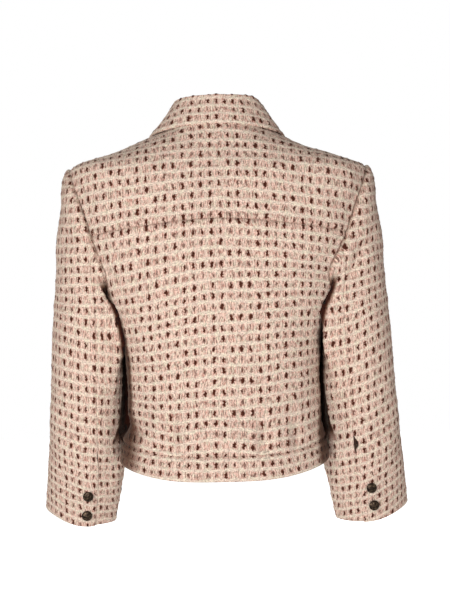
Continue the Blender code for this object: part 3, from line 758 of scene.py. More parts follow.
    # fine yarn relief: loops everywhere, upright in the rows and lying along the weft
    loops = add("Mix", (weft, noise["upright"], noise["lying"]), data_type="FLOAT")
    curls = add("TexVoronoi", {"Vector": inMm, "Scale": 1 / tweedLook["curlSize"]},
                voronoi_dimensions="2D", feature="SMOOTH_F1")
    height = number("MULTIPLY_ADD", curls, tweedLook["curlDepth"], loops)
    height = number("MULTIPLY_ADD", tuft, tweedLook["tuftDepth"], height)
    bump = add("Bump", {"Strength": 0.8, "Distance": 0.0009, "Height": height})
    # painted shade of the pile: the colour darkens along the loop relief and in the low places between the curls
    shade = add("MapRange", (loops, *tweedLook["loopShade"]))
    hollow = add("MapRange", (curls, *tweedLook["curlShade"]))
    shade = number("MULTIPLY", shade, hollow)
    seen = mix(1.0, seen, shade, blend_type="MULTIPLY")
    # painted shade: where two layers press together, and in the seam valleys, the colour is darkened twice towards
    # warm brown
    nook = add("Attribute", attribute_name="nook").node.outputs["Fac"]
    for _ in range(2):
        seen = mix(nook, seen, tone("nook"), blend_type="MULTIPLY")
    shader = add("BsdfPrincipled", {
        "Base Color": seen, "Roughness": tweedLook["roughness"], "Normal": bump,
        "Specular IOR Level": tweedLook["specular"], "Sheen Weight": tweedLook["sheen"],
        "Sheen Roughness": tweedLook["sheenRoughness"], "Sheen Tint": tone("cream")})
    add("OutputMaterial", (shader,))
    return material


metalLook = {
    "tones": ((0.55, "#5e4f3d"), (0.72, "#3a2e25"), (0.95, "#1b1410")),     # worn, base and pit
    "roughness": 0.38, "facet": 2.8,        # mm across a hammer mark
}


def metalMaterial():
    # cast zinc button, hammered and plated in antique bronze: dark in the hollows, rubbed bare on top
    material = bpy.data.materials.new("Antiqued bronze plate")
    tree = newTree(material)
    where = addNode(tree, "TexCoord").node.outputs["Object"]
    facets = addNode(tree, "TexVoronoi", {"Vector": where, "Scale": 1000 / metalLook["facet"]},
                     feature="SMOOTH_F1")
    cloud = addNode(tree, "TexNoise", {"Vector": where, "Scale": 420.0, "Detail": 3.0})
    blend = addNode(tree, "Math", (facets, 0.6, cloud), operation="MULTIPLY_ADD")
    tones = [(at, colour(code)) for at, code in metalLook["tones"]]
    tint = fillRamp(addNode(tree, "ValToRGB", (blend,)), tones)
    bump = addNode(tree, "Bump", {"Strength": 0.7, "Distance": 0.0003, "Height": facets}, invert=True)
    shader = addNode(tree, "BsdfPrincipled", {
        "Base Color": tint, "Metallic": 0.9, "Roughness": metalLook["roughness"], "Normal": bump})
    addNode(tree, "OutputMaterial", (shader,))
    return material


tweed = tweedMaterial()
bronze = metalMaterial()
print("materials ready")


waistFullness = {
    "depth": 5, "peak": 20, "reach": 75,
    "pressed": {1: (13, 0.2), -1: (8, 0.3)},    # mm an arm presses the side in, how far ahead of the seam
    "pressedWidth": 0.3, "pressedHeights": (-431, -405, -295, -245),
    "sunk": (6.5, 1.22, -414, 0.28, 26),        # mm the left side sinks above the band, where, how widely
    "sunkHeights": (-430, -416),
    "tucks": (     # x, length, depth, half width
        (82, 60, 5.0, 8), (-56, 58, 5.0, 8), (-101, 48, 3.5, 9), (36, 40, 2.5, 8)),
}


def pressedIn(angle, height):
    # the arms press the sides of the body in, a little ahead of the side seams
    total = 0 * angle
    for side, (depth, ahead) in waistFullness["pressed"].items():
        total += depth * bell(side * angle - pi / 2 - ahead, waistFullness["pressedWidth"])
    total = total * plateau(height, *waistFullness["pressedHeights"])
    depth, middle, level, wide, tall = waistFullness["sunk"]
    sunk = depth * bell(angle - middle, wide) * bell(height - level, tall)
    return total + sunk * ramp(height, *waistFullness["sunkHeights"])


def fullness(angle, height):
    # the cloth blouses out above the waistband, and tucks take it in
    above = height - waistSeam(angle)
    peak, reach = waistFullness["peak"], waistFullness["reach"]
    bulge = waistFullness["depth"] * plateau(above, 0, peak, peak, reach) * np.abs(np.cos(angle))
    x = bodyPoint(angle, height)[..., 0]
    taken = sum(depth * ramp(np.abs(x - across), 2 * half, 0) * ramp(above, length, 0)
                for across, length, depth, half in waistFullness["tucks"])
    return bulge - taken * (np.cos(angle) > 0) * ramp(above, 0, peak / 2) - pressedIn(angle, height)


# the side of the body that an arm hides, and beside it, down each side of the back,
# the x that the arm lies over, how far its shade reaches and how deep that is
armShade = {
    "hiddenDepths": (-36, -6, -2, 14), "hiddenHeights": (-466, -454, -219, -195),
    "height": (-480, -462, -440, -408, -380, -330, -291, -250, -236, -208, -188),
    1: ((134, 134, 134, 129, 129, 129, 133, 143, 151, 157, 164), (14, 24, 24, 14, 6, 5, 5, 5, 5, 4, 3),
        (0.3, 0.65, 0.8, 0.85, 0.8, 0.8, 0.85, 0.85, 0.7, 0.4, 0)),
    -1: ((136, 136, 136, 136, 137, 137, 138, 145, 150, 153, 158), (6, 9, 9, 7, 6, 5, 5, 4, 4, 3, 3),
         (0.2, 0.7, 0.85, 0.85, 0.8, 0.9, 0.95, 0.8, 0.5, 0.2, 0)),
}


def besideArm(points):
    # painted shade on the body beside each arm, and on the side that an arm hides
    x, y, z = np.moveaxis(points, -1, 0)
    shade = plateau(y, *armShade["hiddenDepths"]) * plateau(z, *armShade["hiddenHeights"])
    for side in (1, -1):
        line, reach, depth = (smoothCurve(armShade["height"], column)(z) for column in armShade[side])
        shade = np.maximum(shade, depth * ramp(side * x, line - reach, line) * (y > 0))
    return shade


def creaseDepth(x, z, creases):
    # soft troughs (below 0) and ridges, each along its own line and fading at both ends
    total = 0 * x
    for x0, z0, x1, z1, half, depth in creases:
        run = np.hypot(x1 - x0, z1 - z0)
        along = ((x - x0) * (x1 - x0) + (z - z0) * (z1 - z0)) / run**2
        aside = ((x - x0) * (z1 - z0) - (z - z0) * (x1 - x0)) / run
        total += depth * bell(aside, half) * plateau(along, 0, 0.4, 0.6, 1)
    return total


def bodySheet(patch, lift=0, creases=()):
    angle, height = patch[..., 0], patch[..., 1]
    points = bodyPoint(angle, height)
    rise = fullness(angle, height) + lapRise(points, lift)
    rise += creaseDepth(points[..., 0], points[..., 2], creases)
    return points + bodyNormal(angle, height) * rise[..., None]


def underCollar(points):
    return ramp(points[..., 2], -12, -2) * (np.abs(points[..., 0]) < 90)


def underLap(points):
    return ramp(points[..., 0], 22, 16) * (points[..., 1] < 0)


backYoke = {
    "steps": (72, 192, 96),     # along each shoulder, round the neck and down the armhole
    "cut": {"flat": (0.46, 0.17), "held": "draped", "area": 0.069},
    "firstRow": 4.0,            # mm from the seam to the nearest row of tufts
}


def makeYoke():
    shoulderSteps, neckSteps, armSteps = backYoke["steps"]
    shoulder = shoulderLine(shoulderSteps)
    neck = neckLine(-pi / 2, pi / 2, neckSteps)
    top = np.concatenate([mirrored(shoulder)[:-1], neck, shoulder[::-1][1:]])
    turns = np.linspace(pi / 2, 0, armSteps + 1)
    points = bodySheet(fillPatch(yokeSeam(2 * shoulderSteps + neckSteps), top,
                                 mirrored(armholeLine(turns, -1)), armholeLine(turns)))
    u = arcAcross(points, backDepth) + weave["centre"] + weave["across"] * 5.5
    v = lengthUp(points) - backYoke["firstRow"] + weave["up"] * 31.5
    addCloth("backYoke", "back_yoke", points, u, v, backYoke["cut"], plain=underCollar(points),
             edges={"start": "seam", "end": "seam", "low": "seam", "high": "seam"})


backBody = {
    "steps": (308, 144, 96),    # across, up the side seam, round the armhole
    "cut": {"flat": (0.43, 0.34), "held": "draped", "area": 0.12},
    "firstRow": 4.0,
    "droops": {1: 15.0, -1: -7.0}, "droopReach": 110, "droopOut": 150,      # mm the rows sag on each side
    "pulls": (      # x, half width and mm that a tuck takes the rows down
        (68, 22, 5.5), (-54, 18, 5.0), (-104, 18, 4.5), (10, 30, -2.0)), "pullHeights": (-375, -420),
    "creases": (
        (134, -392, 112, -436, 7, -5.5), (122, -392, 104, -432, 7, 2.0), (74, -370, 65, -452, 10, -8.0),
        (90, -386, 80, -450, 8, 3.0), (-48, -384, -58, -453, 9, -4.0), (-64, -396, -76, -452, 7, 2.0),
        (-94, -388, -106, -450, 8, -3.6), (-78, -408, -88, -452, 6, 1.6), (116, -250, 60, -268, 9, -1.4)),
}


def makeBack():
    steps, sideSteps, armSteps = backBody["steps"]
    edge, other = (sideEdge(sideSteps, armSteps, pi / 2, side) for side in (1, -1))
    patch = fillPatch(waistLine(-pi / 2, pi / 2, steps), yokeSeam(steps), mirrored(other), edge, sideSteps)
    points = bodySheet(patch, creases=backBody["creases"])
    x, _, z = np.moveaxis(points, -1, 0)
    u = arcAcross(points, backDepth) + weave["centre"] + weave["across"] * 0.5
    run = lengthUp(points)
    middle, reach = run[steps // 2, -1], backBody["droopReach"]
    down = (1 - run / run[:, -1:]) * middle         # rows stay level with both seams
    hang = plateau(down, 0, reach, middle - reach, middle)
    for side, droop in backBody["droops"].items():
        down = down - hang * droop * ramp(side * x, 0, backBody["droopOut"])
    v = weave["up"] * 30.5 + backBody["firstRow"] - down
    for across, half, pull in backBody["pulls"]:
        v += pull * bell(x - across, half) * ramp(z, *backBody["pullHeights"])
    addCloth("backBody", "back_body", points, u, v, backBody["cut"], nook=besideArm(points),
             edges={"start": "seam", "end": "seam", "low": "level", "high": "seam"})


fronts = {
    "steps": (72, 84, 136, 168),    # along the shoulder, round the neck, up the side, round the armhole
    "lift": 2.6,
    "cut": {"flat": (0.25, 0.44), "held": "draped", "area": 0.0925},
    "creases": (
        (152, -208, 104, -256, 7, -2.6), (142, -194, 92, -238, 8, 1.6), (-150, -214, -108, -266, 7, -2.4),
        (-138, -200, -90, -246, 8, 1.6), (66, -396, 62, -430, 4, -3.0), (-72, -400, -66, -432, 4, -3.0),
        (108, -404, 96, -434, 4, -2.8), (-112, -402, -104, -432, 4, -2.6)),
}


def makeFront(name, node, side):
    shoulderSteps, neckSteps, sideSteps, armSteps = fronts["steps"]
    edge = sideEdge(sideSteps, armSteps, 2 * pi)
    neck = neckLine(pi / 2, float(lapAngle(neckHeight(pi))), neckSteps)
    bottom = waistLine(pi / 2, float(lapAngle(waistSeam(pi))), shoulderSteps + neckSteps)
    top = np.concatenate([shoulderLine(shoulderSteps), neck[1:]])
    height = np.concatenate([np.linspace(body["waistSide"], body["armholeBottom"], sideSteps + 1),
                             np.linspace(body["armholeBottom"], neck[-1, 1], armSteps + 1)[1:]])
    centre = np.stack([lapAngle(height), height], -1)
    centre[0], centre[-1] = bottom[-1], neck[-1]
    patch = fillPatch(bottom, top, edge, centre, sideSteps)
    points = bodySheet(patch * (side, 1), fronts["lift"] * (side < 0), fronts["creases"])
    u = arcAcross(points, frontDepth) + weave["across"] * 20.5
    v = lengthUp(points) + weave["up"] * 6.2
    under = underCollar(points)
    if side > 0:
        under = np.maximum(under, underLap(points))
    points, u, v, under = (grid[::side] for grid in (points, u, v, under))     # a mirrored sheet is turned
    seam, opening = ("start", "end")[::side]
    addCloth(name, node, points, u, v, fronts["cut"], plain=under, nook=besideArm(points),
             edges={seam: "seam", opening: "folded", "low": "level", "high": "seam"})


waistband = {
    "steps": (576, 24), "depth": 34, "bulge": 1.5, "wall": 3.0, "lift": 3.6, "sideRise": 0.15, "lip": 0.9,
    "rows": 13.0, "firstRow": 12.0,
    "cut": {"flat": (0.855, 0.034), "held": "draped", "area": 0.0275},
}


def makeWaistband():
    across, rows = waistband["steps"]
    end = float(lapAngle(waistSeam(pi)))
    angle = np.linspace(-end, end, across + 1)[:, None]
    down = np.linspace(1, 0, rows + 1)[None, :]
    height = waistSeam(angle) - waistband["depth"] * down * (1 - waistband["sideRise"] * np.sin(angle) ** 4)
    points = bodyPoint(angle + 0 * down, height)
    rise = waistband["bulge"] * np.sin(pi * down) + lapRise(points, waistband["lift"]) * (angle < 0)
    points = points + bodyNormal(angle, waistSeam(angle)) * rise[..., None]
    u = runningLength(points[:, -1], 0)
    u = (u - u[across // 2])[:, None] + 0 * down + weave["centre"] + weave["across"] * 0.5
    v = (waistband["firstRow"] - waistband["depth"] * down) / waistband["rows"] * weave["up"] + 0 * u
    v += weave["up"] * 8.5
    addCloth("waistbandStrip", "waistband", points, u, v, waistband["cut"], waistband["wall"],
             plain=underLap(points) * (angle > 0), nook=besideArm(points), lip=waistband["lip"],
             edges={"high": "level", "start": "folded", "end": "folded", "low": "folded"})


sleeves = {
    "rings": (     # outer x and z, inner x and z, middle y, half depth, tip in degrees
        (204.5, -47.5, 158, -241, -3, 59, 0), (213.5, -50.5, 161, -243, -3, 60, 0),
        (219.5, -64, 161, -247, -3, 61, 0), (223.5, -99, 159.5, -252, -3, 61, 0),
        (228, -135, 157, -258, -3, 60, 0), (231, -175, 153.5, -266, -3, 59, 0),
        (234, -215, 150, -277, -3, 58, 0), (237, -255, 146.5, -291, -3, 56, 1),
        (239, -295, 143.5, -310, -5, 54.5, 3), (241, -332, 141.5, -338, -8, 53, 6),
        (244, -370, 141.5, -378, -17, 52, 11), (248, -408, 143, -420, -29, 50.5, 17),
        (252, -445, 146, -460, -43, 48, 21), (256.5, -479, 151, -498, -57, 45, 23),
        (260, -507, 157.5, -528, -70, 42.5, 24), (262, -531, 162.5, -553, -79, 41, 24)),
    "nook": (12, 6), "nookDeeper": 11,      # mm off the body where shade begins and is full; more inside
    "nookHeights": (-444, -418, -222, -198),
    "levelCuff": 6.0, "cuffPressed": 0.55,      # mm that its sides and front hang lower, and how flat it is
    "levelRings": (9, 15), "pressedRings": (11, 15),
    "fade": 3, "ringSteps": 24, "backSeam": 7, "frontSeam": -5,
    "ventRing": 12, "ventLap": 2.0, "ventEase": 0.6, "ventDrop": 2.3,
    "gape": {1: (0.12, 11.6, 0.2), -1: (0.5, 11.3, 0.2)},      # steps that the seam opens, ring, reach
    "turnStart": 8, "turn": {1: 12, -1: 2},
    # mm that the sleeve keeps off the body in front and at the back, and how much more between
    "clearance": {1: (2.5, 4.0), -1: (2.5, 9.5)}, "farBehind": (8, 22), "hollow": (-6, 17, 10),
    "clearHeights": (-450, -420, -280, -250), "mostLean": 24, "innerSide": (0.1, 0.7),
    "leanStart": (2, 5), "leanEnd": 7, "leanFade": 3.5,       # rings over which it leans in and comes away
    "leanFurther": 3, "furtherAhead": (-12, -26),
    "fold": {1: (7, 8, 2.35), -1: (17, 12, 2.36)},      # mm inwards and backwards, and where round the arm
    "foldRings": (0.1, 1.4, 5, 9),
    "pushBelow": -181, "pushRings": (0.2, 1.4),
    "behind": (14, 26), "ahead": (-14, -26),        # y over which the creases on that side come up
    "creases": {    # x and z of both ends, half width and depth, mm
        "behind": {
            1: ((161, -197, 150, -252, 5, -3.2), (151, -196, 140, -246, 6, 2.0),
                (166, -280, 136, -305, 3.5, -3.4), (162, -291, 134, -318, 5, 2.4),
                (250, -372, 214, -400, 8, -1.8), (196, -402, 188, -474, 4, -4.2)),
            -1: ((208, -146, 168, -228, 7, -6.5), (190, -148, 154, -214, 7, 2.6),
                 (204, -424, 221, -476, 3, -3.6), (236, -330, 200, -372, 8, -2.0),
                 (176, -330, 146, -352, 6, -2.2))},
        "ahead": {
            1: ((206, -150, 170, -216, 6, -3.2), (196, -142, 160, -206, 7, 2.0),
                (198, -330, 160, -352, 5, -2.8), (206, -342, 166, -368, 6, 2.0),
                (242, -300, 204, -340, 7, -2.2)),
            -1: ((200, -160, 166, -224, 6, -3.2), (190, -152, 156, -214, 7, 2.0),
                 (234, -285, 196, -324, 7, -2.4), (192, -342, 158, -360, 5, -2.8),
                 (200, -354, 164, -376, 6, 1.8))}},
    "upperOval": (47, 60), "upperMiddle": 183, "elbowRing": 7, "capFrom": 219.5,
    "steps": (120, 352),
    "across": 10.3, "up": 13.8,     # mm between tufts on the sleeves
    "offGrain": {1: (14, 5), -1: (30, -4)},     # mm that a row falls towards the body, and from which ring
    "cut": {
        "upper": {"flat": (0.2, 0.51), "held": "draped", "area": 0.08},
        "under": {"flat": (0.19, 0.44), "held": "draped", "area": 0.0675}},
}
lastRing = len(sleeves["rings"]) - 1
ringCurves = [smoothCurve(range(lastRing + 1), column) for column in zip(*sleeves["rings"])]


def ringPoint(ring, turn):
    outerX, outerZ, innerX, innerZ, middleY, deep, tip = (curve(ring) for curve in ringCurves)
    tip = np.radians(tip)
    flat = np.abs(np.sin(turn)) ** (sleeves["cuffPressed"] * ramp(ring, *sleeves["pressedRings"]))
    swing, lean = np.cos(turn), np.sin(turn) * flat * deep
    x = (outerX + innerX) / 2 + (outerX - innerX) / 2 * swing
    y = middleY + lean * np.cos(tip)
    z = (outerZ + innerZ) / 2 + (outerZ - innerZ) / 2 * swing - lean * np.sin(tip)
    lower = sleeves["levelCuff"] * ramp(ring, *sleeves["levelRings"]) * ramp(np.sin(turn), 1, 0)
    return np.stack([x, y, z - lower], -1)


def sleevePoint(ring, turn, side=1):
    # laid out as the wearer's left sleeve; near the armhole it takes the armhole's own shape
    ring, turn = np.broadcast_arrays(np.asarray(ring, float), np.asarray(turn, float))
    points = ringPoint(ring, turn)
    share = np.maximum(0, 1 - ring / sleeves["fade"]) ** 2
    line = armholeLine(turn, side)
    return points + (bodyPoint(line[..., 0], line[..., 1]) - ringPoint(0 * ring, turn)) * share[..., None]


def ringTurn(step, ring, side):
    forearm = ramp(ring, sleeves["turnStart"], lastRing)
    return 2 * pi * step / sleeves["ringSteps"] + radians(sleeves["turn"][side]) * forearm


def bodyShare(x, y, z, clear=0):
    # how far out a point lies, as a share of the way to the body or to a given clearance off it
    return ovalShare(x, y, halfWidth(z) + clear, depthOn(y, z) + clear, squareness(z))


def restOnBody(points, ring, turn, side):
    # below the armhole the inner side rests against the body, and a fold of it laps over the body's back
    x, y, z = np.moveaxis(points, -1, 0)
    near, far = sleeves["clearance"][side]
    middle, reach, deep = sleeves["hollow"]
    apart = (far - near) * ramp(y, *sleeves["farBehind"]) + deep * bell(y - middle, reach)
    clear = near + apart * plateau(z, *sleeves["clearHeights"]) - pressedIn(np.arctan2(x, y) * side, z)
    end = sleeves["leanEnd"] + sleeves["leanFurther"] * ramp(y, *sleeves["furtherAhead"])
    inner = ramp(-np.cos(turn), *sleeves["innerSide"])
    inner *= plateau(ring, *sleeves["leanStart"], end, end + sleeves["leanFade"])
    x = x - np.clip(x - sideAt(y, z, 0.98) - clear, 0, sleeves["mostLean"]) * inner
    inward, backward, where = sleeves["fold"][side]
    lobe = bell(turn - where, 0.6) * plateau(ring, *sleeves["foldRings"])
    x, y = x - inward * lobe, y + backward * lobe

    # and nowhere does it enter the body
    push = np.where(z < sleeves["pushBelow"], 1 / np.clip(bodyShare(x, y, z, clear), 0.8, 1), 1)
    push = 1 + (push - 1) * ramp(ring, *sleeves["pushRings"])
    return np.stack([x * push, y * push, z], -1)


def besideBody(points, side):
    # painted shade on the inside of the arm: 1 where it all but touches the body
    x, y, z = np.moveaxis(points, -1, 0)
    apart = np.hypot(x, y) * (1 - 1 / bodyShare(x, y, z)) + pressedIn(np.arctan2(x, y) * side, z)
    apart = apart - sleeves["nookDeeper"] * ramp(y, 10, 0)
    return ramp(apart, *sleeves["nook"]) * plateau(z, *sleeves["nookHeights"])


def sleeveCloth(points, ring, turn, part, side):
    # where each point lies on the flat cloth, in mm: round the arm from the outermost line, and downwards
    around, rings = np.linspace(-pi, pi, 721), np.linspace(0, lastRing, 61)
    wide, deep = sleeves["upperOval"]
    turned = (turn + pi) % (2 * pi) - pi
    bend = np.arctan2((points[..., 1] + 3) / deep, (points[..., 0] - sleeves["upperMiddle"]) / wide)
    if part == "under":
        around = around + pi
        turned, bend = (np.where(angle < 0, angle + 2 * pi, angle) for angle in (turned, bend))
    run = runningLength(ringPoint(rings[:, None], around[None, :]), 1)
    run -= np.array([np.interp(0, around, row) for row in run])[:, None]
    below = lookUp(run, ring / lastRing * 60 + 0 * turn, (turned - around[0]) / (around[1] - around[0]))

    # above the elbow the columns hang plumb and the rows are level
    arc = runningLength(np.stack([wide * np.cos(around), deep * np.sin(around)], -1), 0)
    above = np.interp(bend, around, arc - np.interp(0, around, arc))
    axis = (ringPoint(rings, 0 * rings) + ringPoint(rings, 0 * rings + pi)) / 2
    axisRun = runningLength(axis, 0)
    elbow = sleeves["elbowRing"]
    down = np.interp(ring, rings, axisRun - np.interp(elbow, rings, axisRun)) + 0 * turn
    overCap = 0.5 * np.maximum(0, sleeves["capFrom"] - points[..., 0]) * ramp(points[..., 2], -80, -55)
    level = np.interp(elbow, rings, axis[:, 2]) - points[..., 2] - overCap
    share = ramp(ring, elbow - 1.5, elbow + 1.5)
    fall, start = sleeves["offGrain"][side]
    fall = fall * (1 - np.cos(turn)) / 2 * ramp(ring, start, start + 4)
    return above * (1 - share) + below * share, level * (1 - share) + down * share - fall


def evenRings(steps):
    # ring numbers that lie evenly down the outermost line
    ring = np.linspace(0, lastRing, 3000)
    run = runningLength(sleevePoint(ring, 0 * ring), 0)
    return np.interp(np.linspace(0, run[-1], steps + 1), run, ring)


def makeSleevePart(name, node, side, part):
    columns, rows = sleeves["steps"]
    first, last = sleeves["frontSeam"], sleeves["backSeam"]
    if part == "under":
        first, last = last, first + sleeves["ringSteps"]
    step = np.linspace(first, last, columns + 1)[:, None]
    ring = evenRings(rows)[::-1][None, :]        # the cuff is the low edge
    under = drop = 0 * step * ring
    if part == "upper":     # the seam gapes a little above the vent
        gape, gapeRing, gapeReach = sleeves["gape"][side]
        shift = -gape * bell(ring - gapeRing, gapeReach) * ramp(step, last - 1, last)
    else:                   # and below it this part runs on under the vent
        past, below = step - first, ring - sleeves["ventRing"]
        lap = np.interp(past, (0, 1, 2), (sleeves["ventLap"], sleeves["ventEase"], 0))
        shift = -lap * np.clip(below, 0, 1)
        drop = sleeves["ventDrop"] * np.interp(past, (1, 2), (1, 0)) * np.clip(below + 1, 0, 1)
        under = np.clip(2.4 - past, 0, 1) * np.clip(below + 1, 0, 1)
    turn = ringTurn(step + shift, ring, side)
    points = restOnBody(sleevePoint(ring, turn, side), ring, turn, side)
    x, y, z = np.moveaxis(points, -1, 0)
    rise = -drop
    for where in ("behind", "ahead"):
        rise = rise + creaseDepth(x, z, sleeves["creases"][where][side]) * ramp(y, *sleeves[where])
    u, v = sleeveCloth(points, ring, turn, part, side)
    if part == "under":         # beyond the seam its columns follow the folds of the cloth itself
        u = u[:1] + runningLength(points * (1, 1, 0.3), 0)
    u = u * weave["across"] / sleeves["across"] + weave["across"] * 40.5
    v = weave["up"] * 30.5 - v * weave["up"] / sleeves["up"]
    grids = points * (side, 1, 1), u, v, under, rise, besideBody(points, side)
    points, u, v, under, rise, nook = (grid[::-side] for grid in grids)
    points = points + gridNormals(points) * rise[..., None]
    addCloth(name, node, points, u, v, sleeves["cut"][part], plain=under, nook=nook,
             edges={"start": "pressed", "end": "pressed", "high": "roped", "low": "folded"})


collar = {
    "sections": (   # degrees round, fold inset, fold height, leaf height, leaf lift
        (0, 3, 49, 6.5, 2.7), (45, 5.5, 47.5, 3, 2.7), (70, 9, 45, -2, 2.7), (90, 11.5, 42.5, -5, 2.7),
        (110, 10, 33, -20, 2.8), (130, 7, 12, -48, 3.2), (142, 6, 0, -71, 4.5), (151, 6, -10, -88, 5.8),
        (165, 6, -20.5, -72, 5.8), (177, 6, -25.5, -55, 5.8)),
    "tuck": 2.5, "point": 151, "end": 177, "roll": 1.6, "wall": 2.0,
    "steps": (180, 40), "standSteps": 28, "rollSteps": 12, "fallSteps": 32,
    "rows": 12.1, "firstRow": 9.0,
    "cut": {"flat": (0.65, 0.13), "held": "folded", "area": 0.041},
}


def makeCollar():
    places, insets, folds, leaves, lifts = zip(*collar["sections"])
    foldInset, foldHeight = smoothCurve(places, insets), smoothCurve(places, folds)
    leafHeight, leafLift = smoothCurve(places, leaves), smoothCurve(places, lifts)
    backSteps, frontSteps = collar["steps"]
    half = np.concatenate([np.linspace(0, collar["point"], backSteps + 1),
                           np.linspace(collar["point"], collar["end"], frontSteps + 1)[1:]])
    turned = np.concatenate([-half[:0:-1], half])
    angle, place = np.radians(turned), np.abs(turned)
    out = np.stack([np.sin(angle), np.cos(angle), 0 * angle], -1)
    up = np.array([0, 0, 1.0])
    radius, inset, roll = neckRadius(angle), foldInset(place), collar["roll"]
    base = out * radius[:, None] + up * (neckHeight(angle) - collar["tuck"])[:, None]
    fold = out * (radius - inset)[:, None] + up * (foldHeight(place) - roll)[:, None]
    height = leafHeight(place)
    leaf = bodyPoint(angle, height) + bodyNormal(angle, height) * leafLift(place)[:, None]
    lines = []
    for share in np.linspace(0, 1, collar["standSteps"] + 1)[:-1]:
        lines.append(base + (fold - out * roll - base) * share)
    for bend in np.linspace(pi, 0, collar["rollSteps"] + 1):
        lines.append(fold + out * (roll * np.cos(bend)) + up * (roll * np.sin(bend)))
    for share in np.linspace(0, 1, collar["fallSteps"] + 1)[1:]:
        lines.append(fold + out * roll + (leaf - fold - out * roll) * share)
    points = np.stack(lines, 1)
    run = runningLength(points, 1)
    fromLeaf = run[:, -1:] - run
    u = runningLength(points[:, -collar["fallSteps"] // 2], 0)
    u = (u - u[len(u) // 2])[:, None] + 0 * run + weave["across"] * 3.5
    v = (fromLeaf - collar["firstRow"]) / collar["rows"] * weave["up"] + weave["up"] * 12.5
    addCloth("collarFold", "collar", points[::-1], u[::-1], v[::-1], collar["cut"], collar["wall"],
             edges={"low": "seam", "start": "folded", "end": "folded", "high": "folded"})


buttons = {
    "profile": (    # radius and height above the seat, mm
        (0, 0), (2.1, 0), (2.1, 1.1), (6.6, 1.45), (7.2, 1.75), (7.5, 2.3), (7.35, 2.9), (6.9, 3.25),
        (6.2, 3.6), (5.0, 4.15), (3.4, 4.65), (1.7, 4.98), (0, 5.1)),
    "steps": 48, "gap": 0.3, "dents": 0.16, "dentedFrom": 2.5,
    "slack": 0.9, "tilt": (0, 0.12, 0.3),       # the cuff buttons hang a little loose on their shanks
    "cuffStep": {1: 5.95, -1: 5.75}, "cuffFromEdge": {1: (54, 20), -1: (59, 28)},
    "frontTop": -84, "frontSpacing": 92.5, "frontCount": 5,
}


def makeButton(name, node, seat, outward, seed):
    bm = bmesh.new()
    verts = [bm.verts.new((radius * metre, 0, height * metre)) for radius, height in buttons["profile"]]
    edges = [bm.edges.new(pair) for pair in zip(verts, verts[1:])]
    bmesh.ops.spin(bm, geom=verts + edges, cent=(0, 0, 0), axis=(0, 0, 1), angle=2 * pi,
                   steps=buttons["steps"], use_merge=True)
    bmesh.ops.remove_doubles(bm, verts=bm.verts[:], dist=0.00001)
    bmesh.ops.recalc_face_normals(bm, faces=bm.faces[:])
    for vert in bm.verts:
        if vert.co.z > buttons["dentedFrom"] * metre:
            x, y, _ = vert.co / metre
            vert.co.z += float(softNoise(x + 40, y + 40, 2.2, seed)) * buttons["dents"] * metre
    turned = Vector(outward).to_track_quat("Z", "Y").to_matrix().to_4x4()
    bmesh.ops.transform(bm, matrix=Matrix.Translation(Vector(seat) * metre) @ turned, verts=bm.verts[:])
    addPiece(name, finishMesh(name, bm, 50), bronze, node, "button_metal")


def cuffSeats(side):
    step, mirror = buttons["cuffStep"][side], np.array([side, 1, 1])
    ring = np.linspace(lastRing, 9, 800)
    run = runningLength(sleevePoint(ring, ringTurn(step, ring, side)), 0)
    for fromEdge in buttons["cuffFromEdge"][side]:
        at = np.interp(fromEdge, run, ring)
        turn = ringTurn(step, at, side)
        along = sleevePoint(at, turn + 0.01) - sleevePoint(at, turn - 0.01)
        down = sleevePoint(at + 0.05, turn) - sleevePoint(at - 0.05, turn)
        outward = unit(np.cross(down, along)) * mirror
        lift = body["wall"] / 2 + buttons["gap"] + buttons["slack"]
        yield settle(sleevePoint(at, turn) * mirror) + outward * lift, unit(outward + buttons["tilt"])


def frontSeats():
    for count in range(buttons["frontCount"]):
        height = buttons["frontTop"] - buttons["frontSpacing"] * count
        outward = bodyNormal(pi, height)
        rise = fronts["lift"] + body["wall"] / 2 + float(fullness(np.array(pi), np.array(height)))
        if height < waistSeam(pi):
            rise = waistband["lift"] + waistband["wall"] / 2 + waistband["bulge"]
        yield bodyPoint(pi, height) + outward * (rise + buttons["gap"]), outward


def makeButtons():
    sides = [(f"{side}{count}", f"{side.lower()}_{count}") for side in ("Left", "Right") for count in (1, 2)]
    names = [(f"cuffButton{name}", f"cuff_button_{node}") for name, node in sides]
    names += [(f"frontButton{k}", f"front_button_{k}") for k in range(1, buttons["frontCount"] + 1)]
    for seed, ((name, node), (seat, outward)) in enumerate(zip(names, buttonSeats), 50):
        makeButton(name, node, seat, outward, seed)


buttonSeats = [*cuffSeats(1), *cuffSeats(-1), *frontSeats()]
makeYoke()
makeBack()
makeFront("frontLeft", "front_left", 1)
makeFront("frontRight", "front_right", -1)
makeWaistband()
for side, name in ((1, "Left"), (-1, "Right")):
    makeSleevePart(f"sleeve{name}Upper", f"sleeve_{name.lower()}_upper", side, "upper")
    makeSleevePart(f"sleeve{name}Under", f"sleeve_{name.lower()}_under", side, "under")
makeCollar()
makeButtons()
print("jacket made")


studio = {
    "camera": (0, 2.3, -0.229), "lens": 97.18, "roll": -1.3, "shift": (0.00733, -0.00833),
    "target": (0, 0, -0.28), "floor": -0.95, "world": 0.25,
    "lights": (     # name, place, size, watts
        ("Key", (0.75, 2.85, -0.1), 1.1, 63), ("Fill", (-2.0, 2.2, -0.2), 2.0, 9),
        ("Front", (0.4, -2.6, 0.4), 2.0, 70)),
}


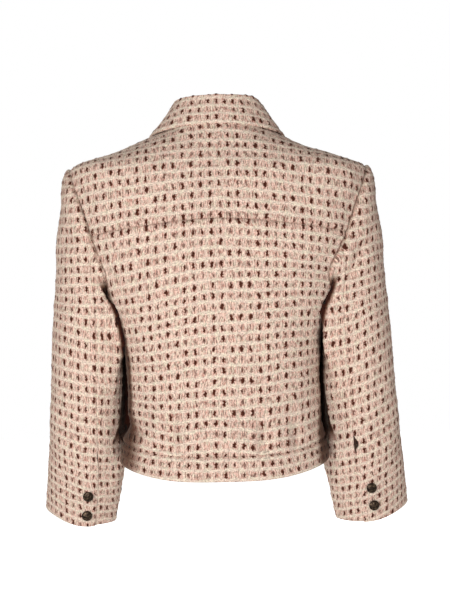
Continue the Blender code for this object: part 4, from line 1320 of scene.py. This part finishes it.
def makeStudio():
    camera = bpy.data.cameras.new("Camera")
    camera.lens = studio["lens"]
    camera.shift_x, camera.shift_y = studio["shift"]
    seenFrom = addObject("Camera", camera)
    seenFrom.location = studio["camera"]
    facing = Euler((pi / 2, 0, pi)).to_matrix() @ Matrix.Rotation(radians(studio["roll"]), 3, "Z")
    seenFrom.rotation_euler = facing.to_euler()
    bpy.context.scene.camera = seenFrom
    for name, place, size, watts in studio["lights"]:
        light = bpy.data.lights.new(name, "AREA")
        light.size, light.energy = size, watts
        lamp = addObject(name, light)
        lamp.location = place
        lamp.rotation_euler = (Vector(studio["target"]) - Vector(place)).to_track_quat("-Z", "Y").to_euler()

    # the room is dimmer than it looks, so that the paper is white and the shade stays soft
    world = bpy.data.worlds.new("Studio white")
    tree = newTree(world)
    seen = addNode(tree, "LightPath").node.outputs["Is Camera Ray"]
    strength = addNode(tree, "MapRange", (seen, 0, 1, studio["world"], 1))
    addNode(tree, "OutputWorld", (addNode(tree, "Background", ((1, 1, 1, 1), strength)),))
    bpy.context.scene.world = world
    bpy.context.scene.view_settings.view_transform = "Standard"

    bm = bmesh.new()
    bmesh.ops.create_grid(bm, x_segments=1, y_segments=1, size=6)
    bmesh.ops.translate(bm, vec=(0, 0, studio["floor"]), verts=bm.verts[:])
    floor = addObject("Floor", finishMesh("Floor", bm))
    paper = bpy.data.materials.new("White paper sweep")
    tree = newTree(paper)
    seen = addNode(tree, "LightPath").node.outputs["Is Camera Ray"]
    glow = addNode(tree, "MapRange", (seen, 0, 1, 0.12, 1))
    shader = addNode(tree, "BsdfPrincipled", {
        "Base Color": colour("#f2f2f2"), "Roughness": 0.9, "Emission Color": colour("#ffffff"),
        "Emission Strength": glow})
    addNode(tree, "OutputMaterial", (shader,))
    floor.data.materials.append(paper)
    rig.stage(floor)


makeStudio()
print("studio ready")
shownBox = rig.bounds()
with open("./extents.json", "w") as sizeFile:
    json.dump({"cad": [list(corner) for corner in cadBox], "shown": [list(corner) for corner in shownBox]}, sizeFile)
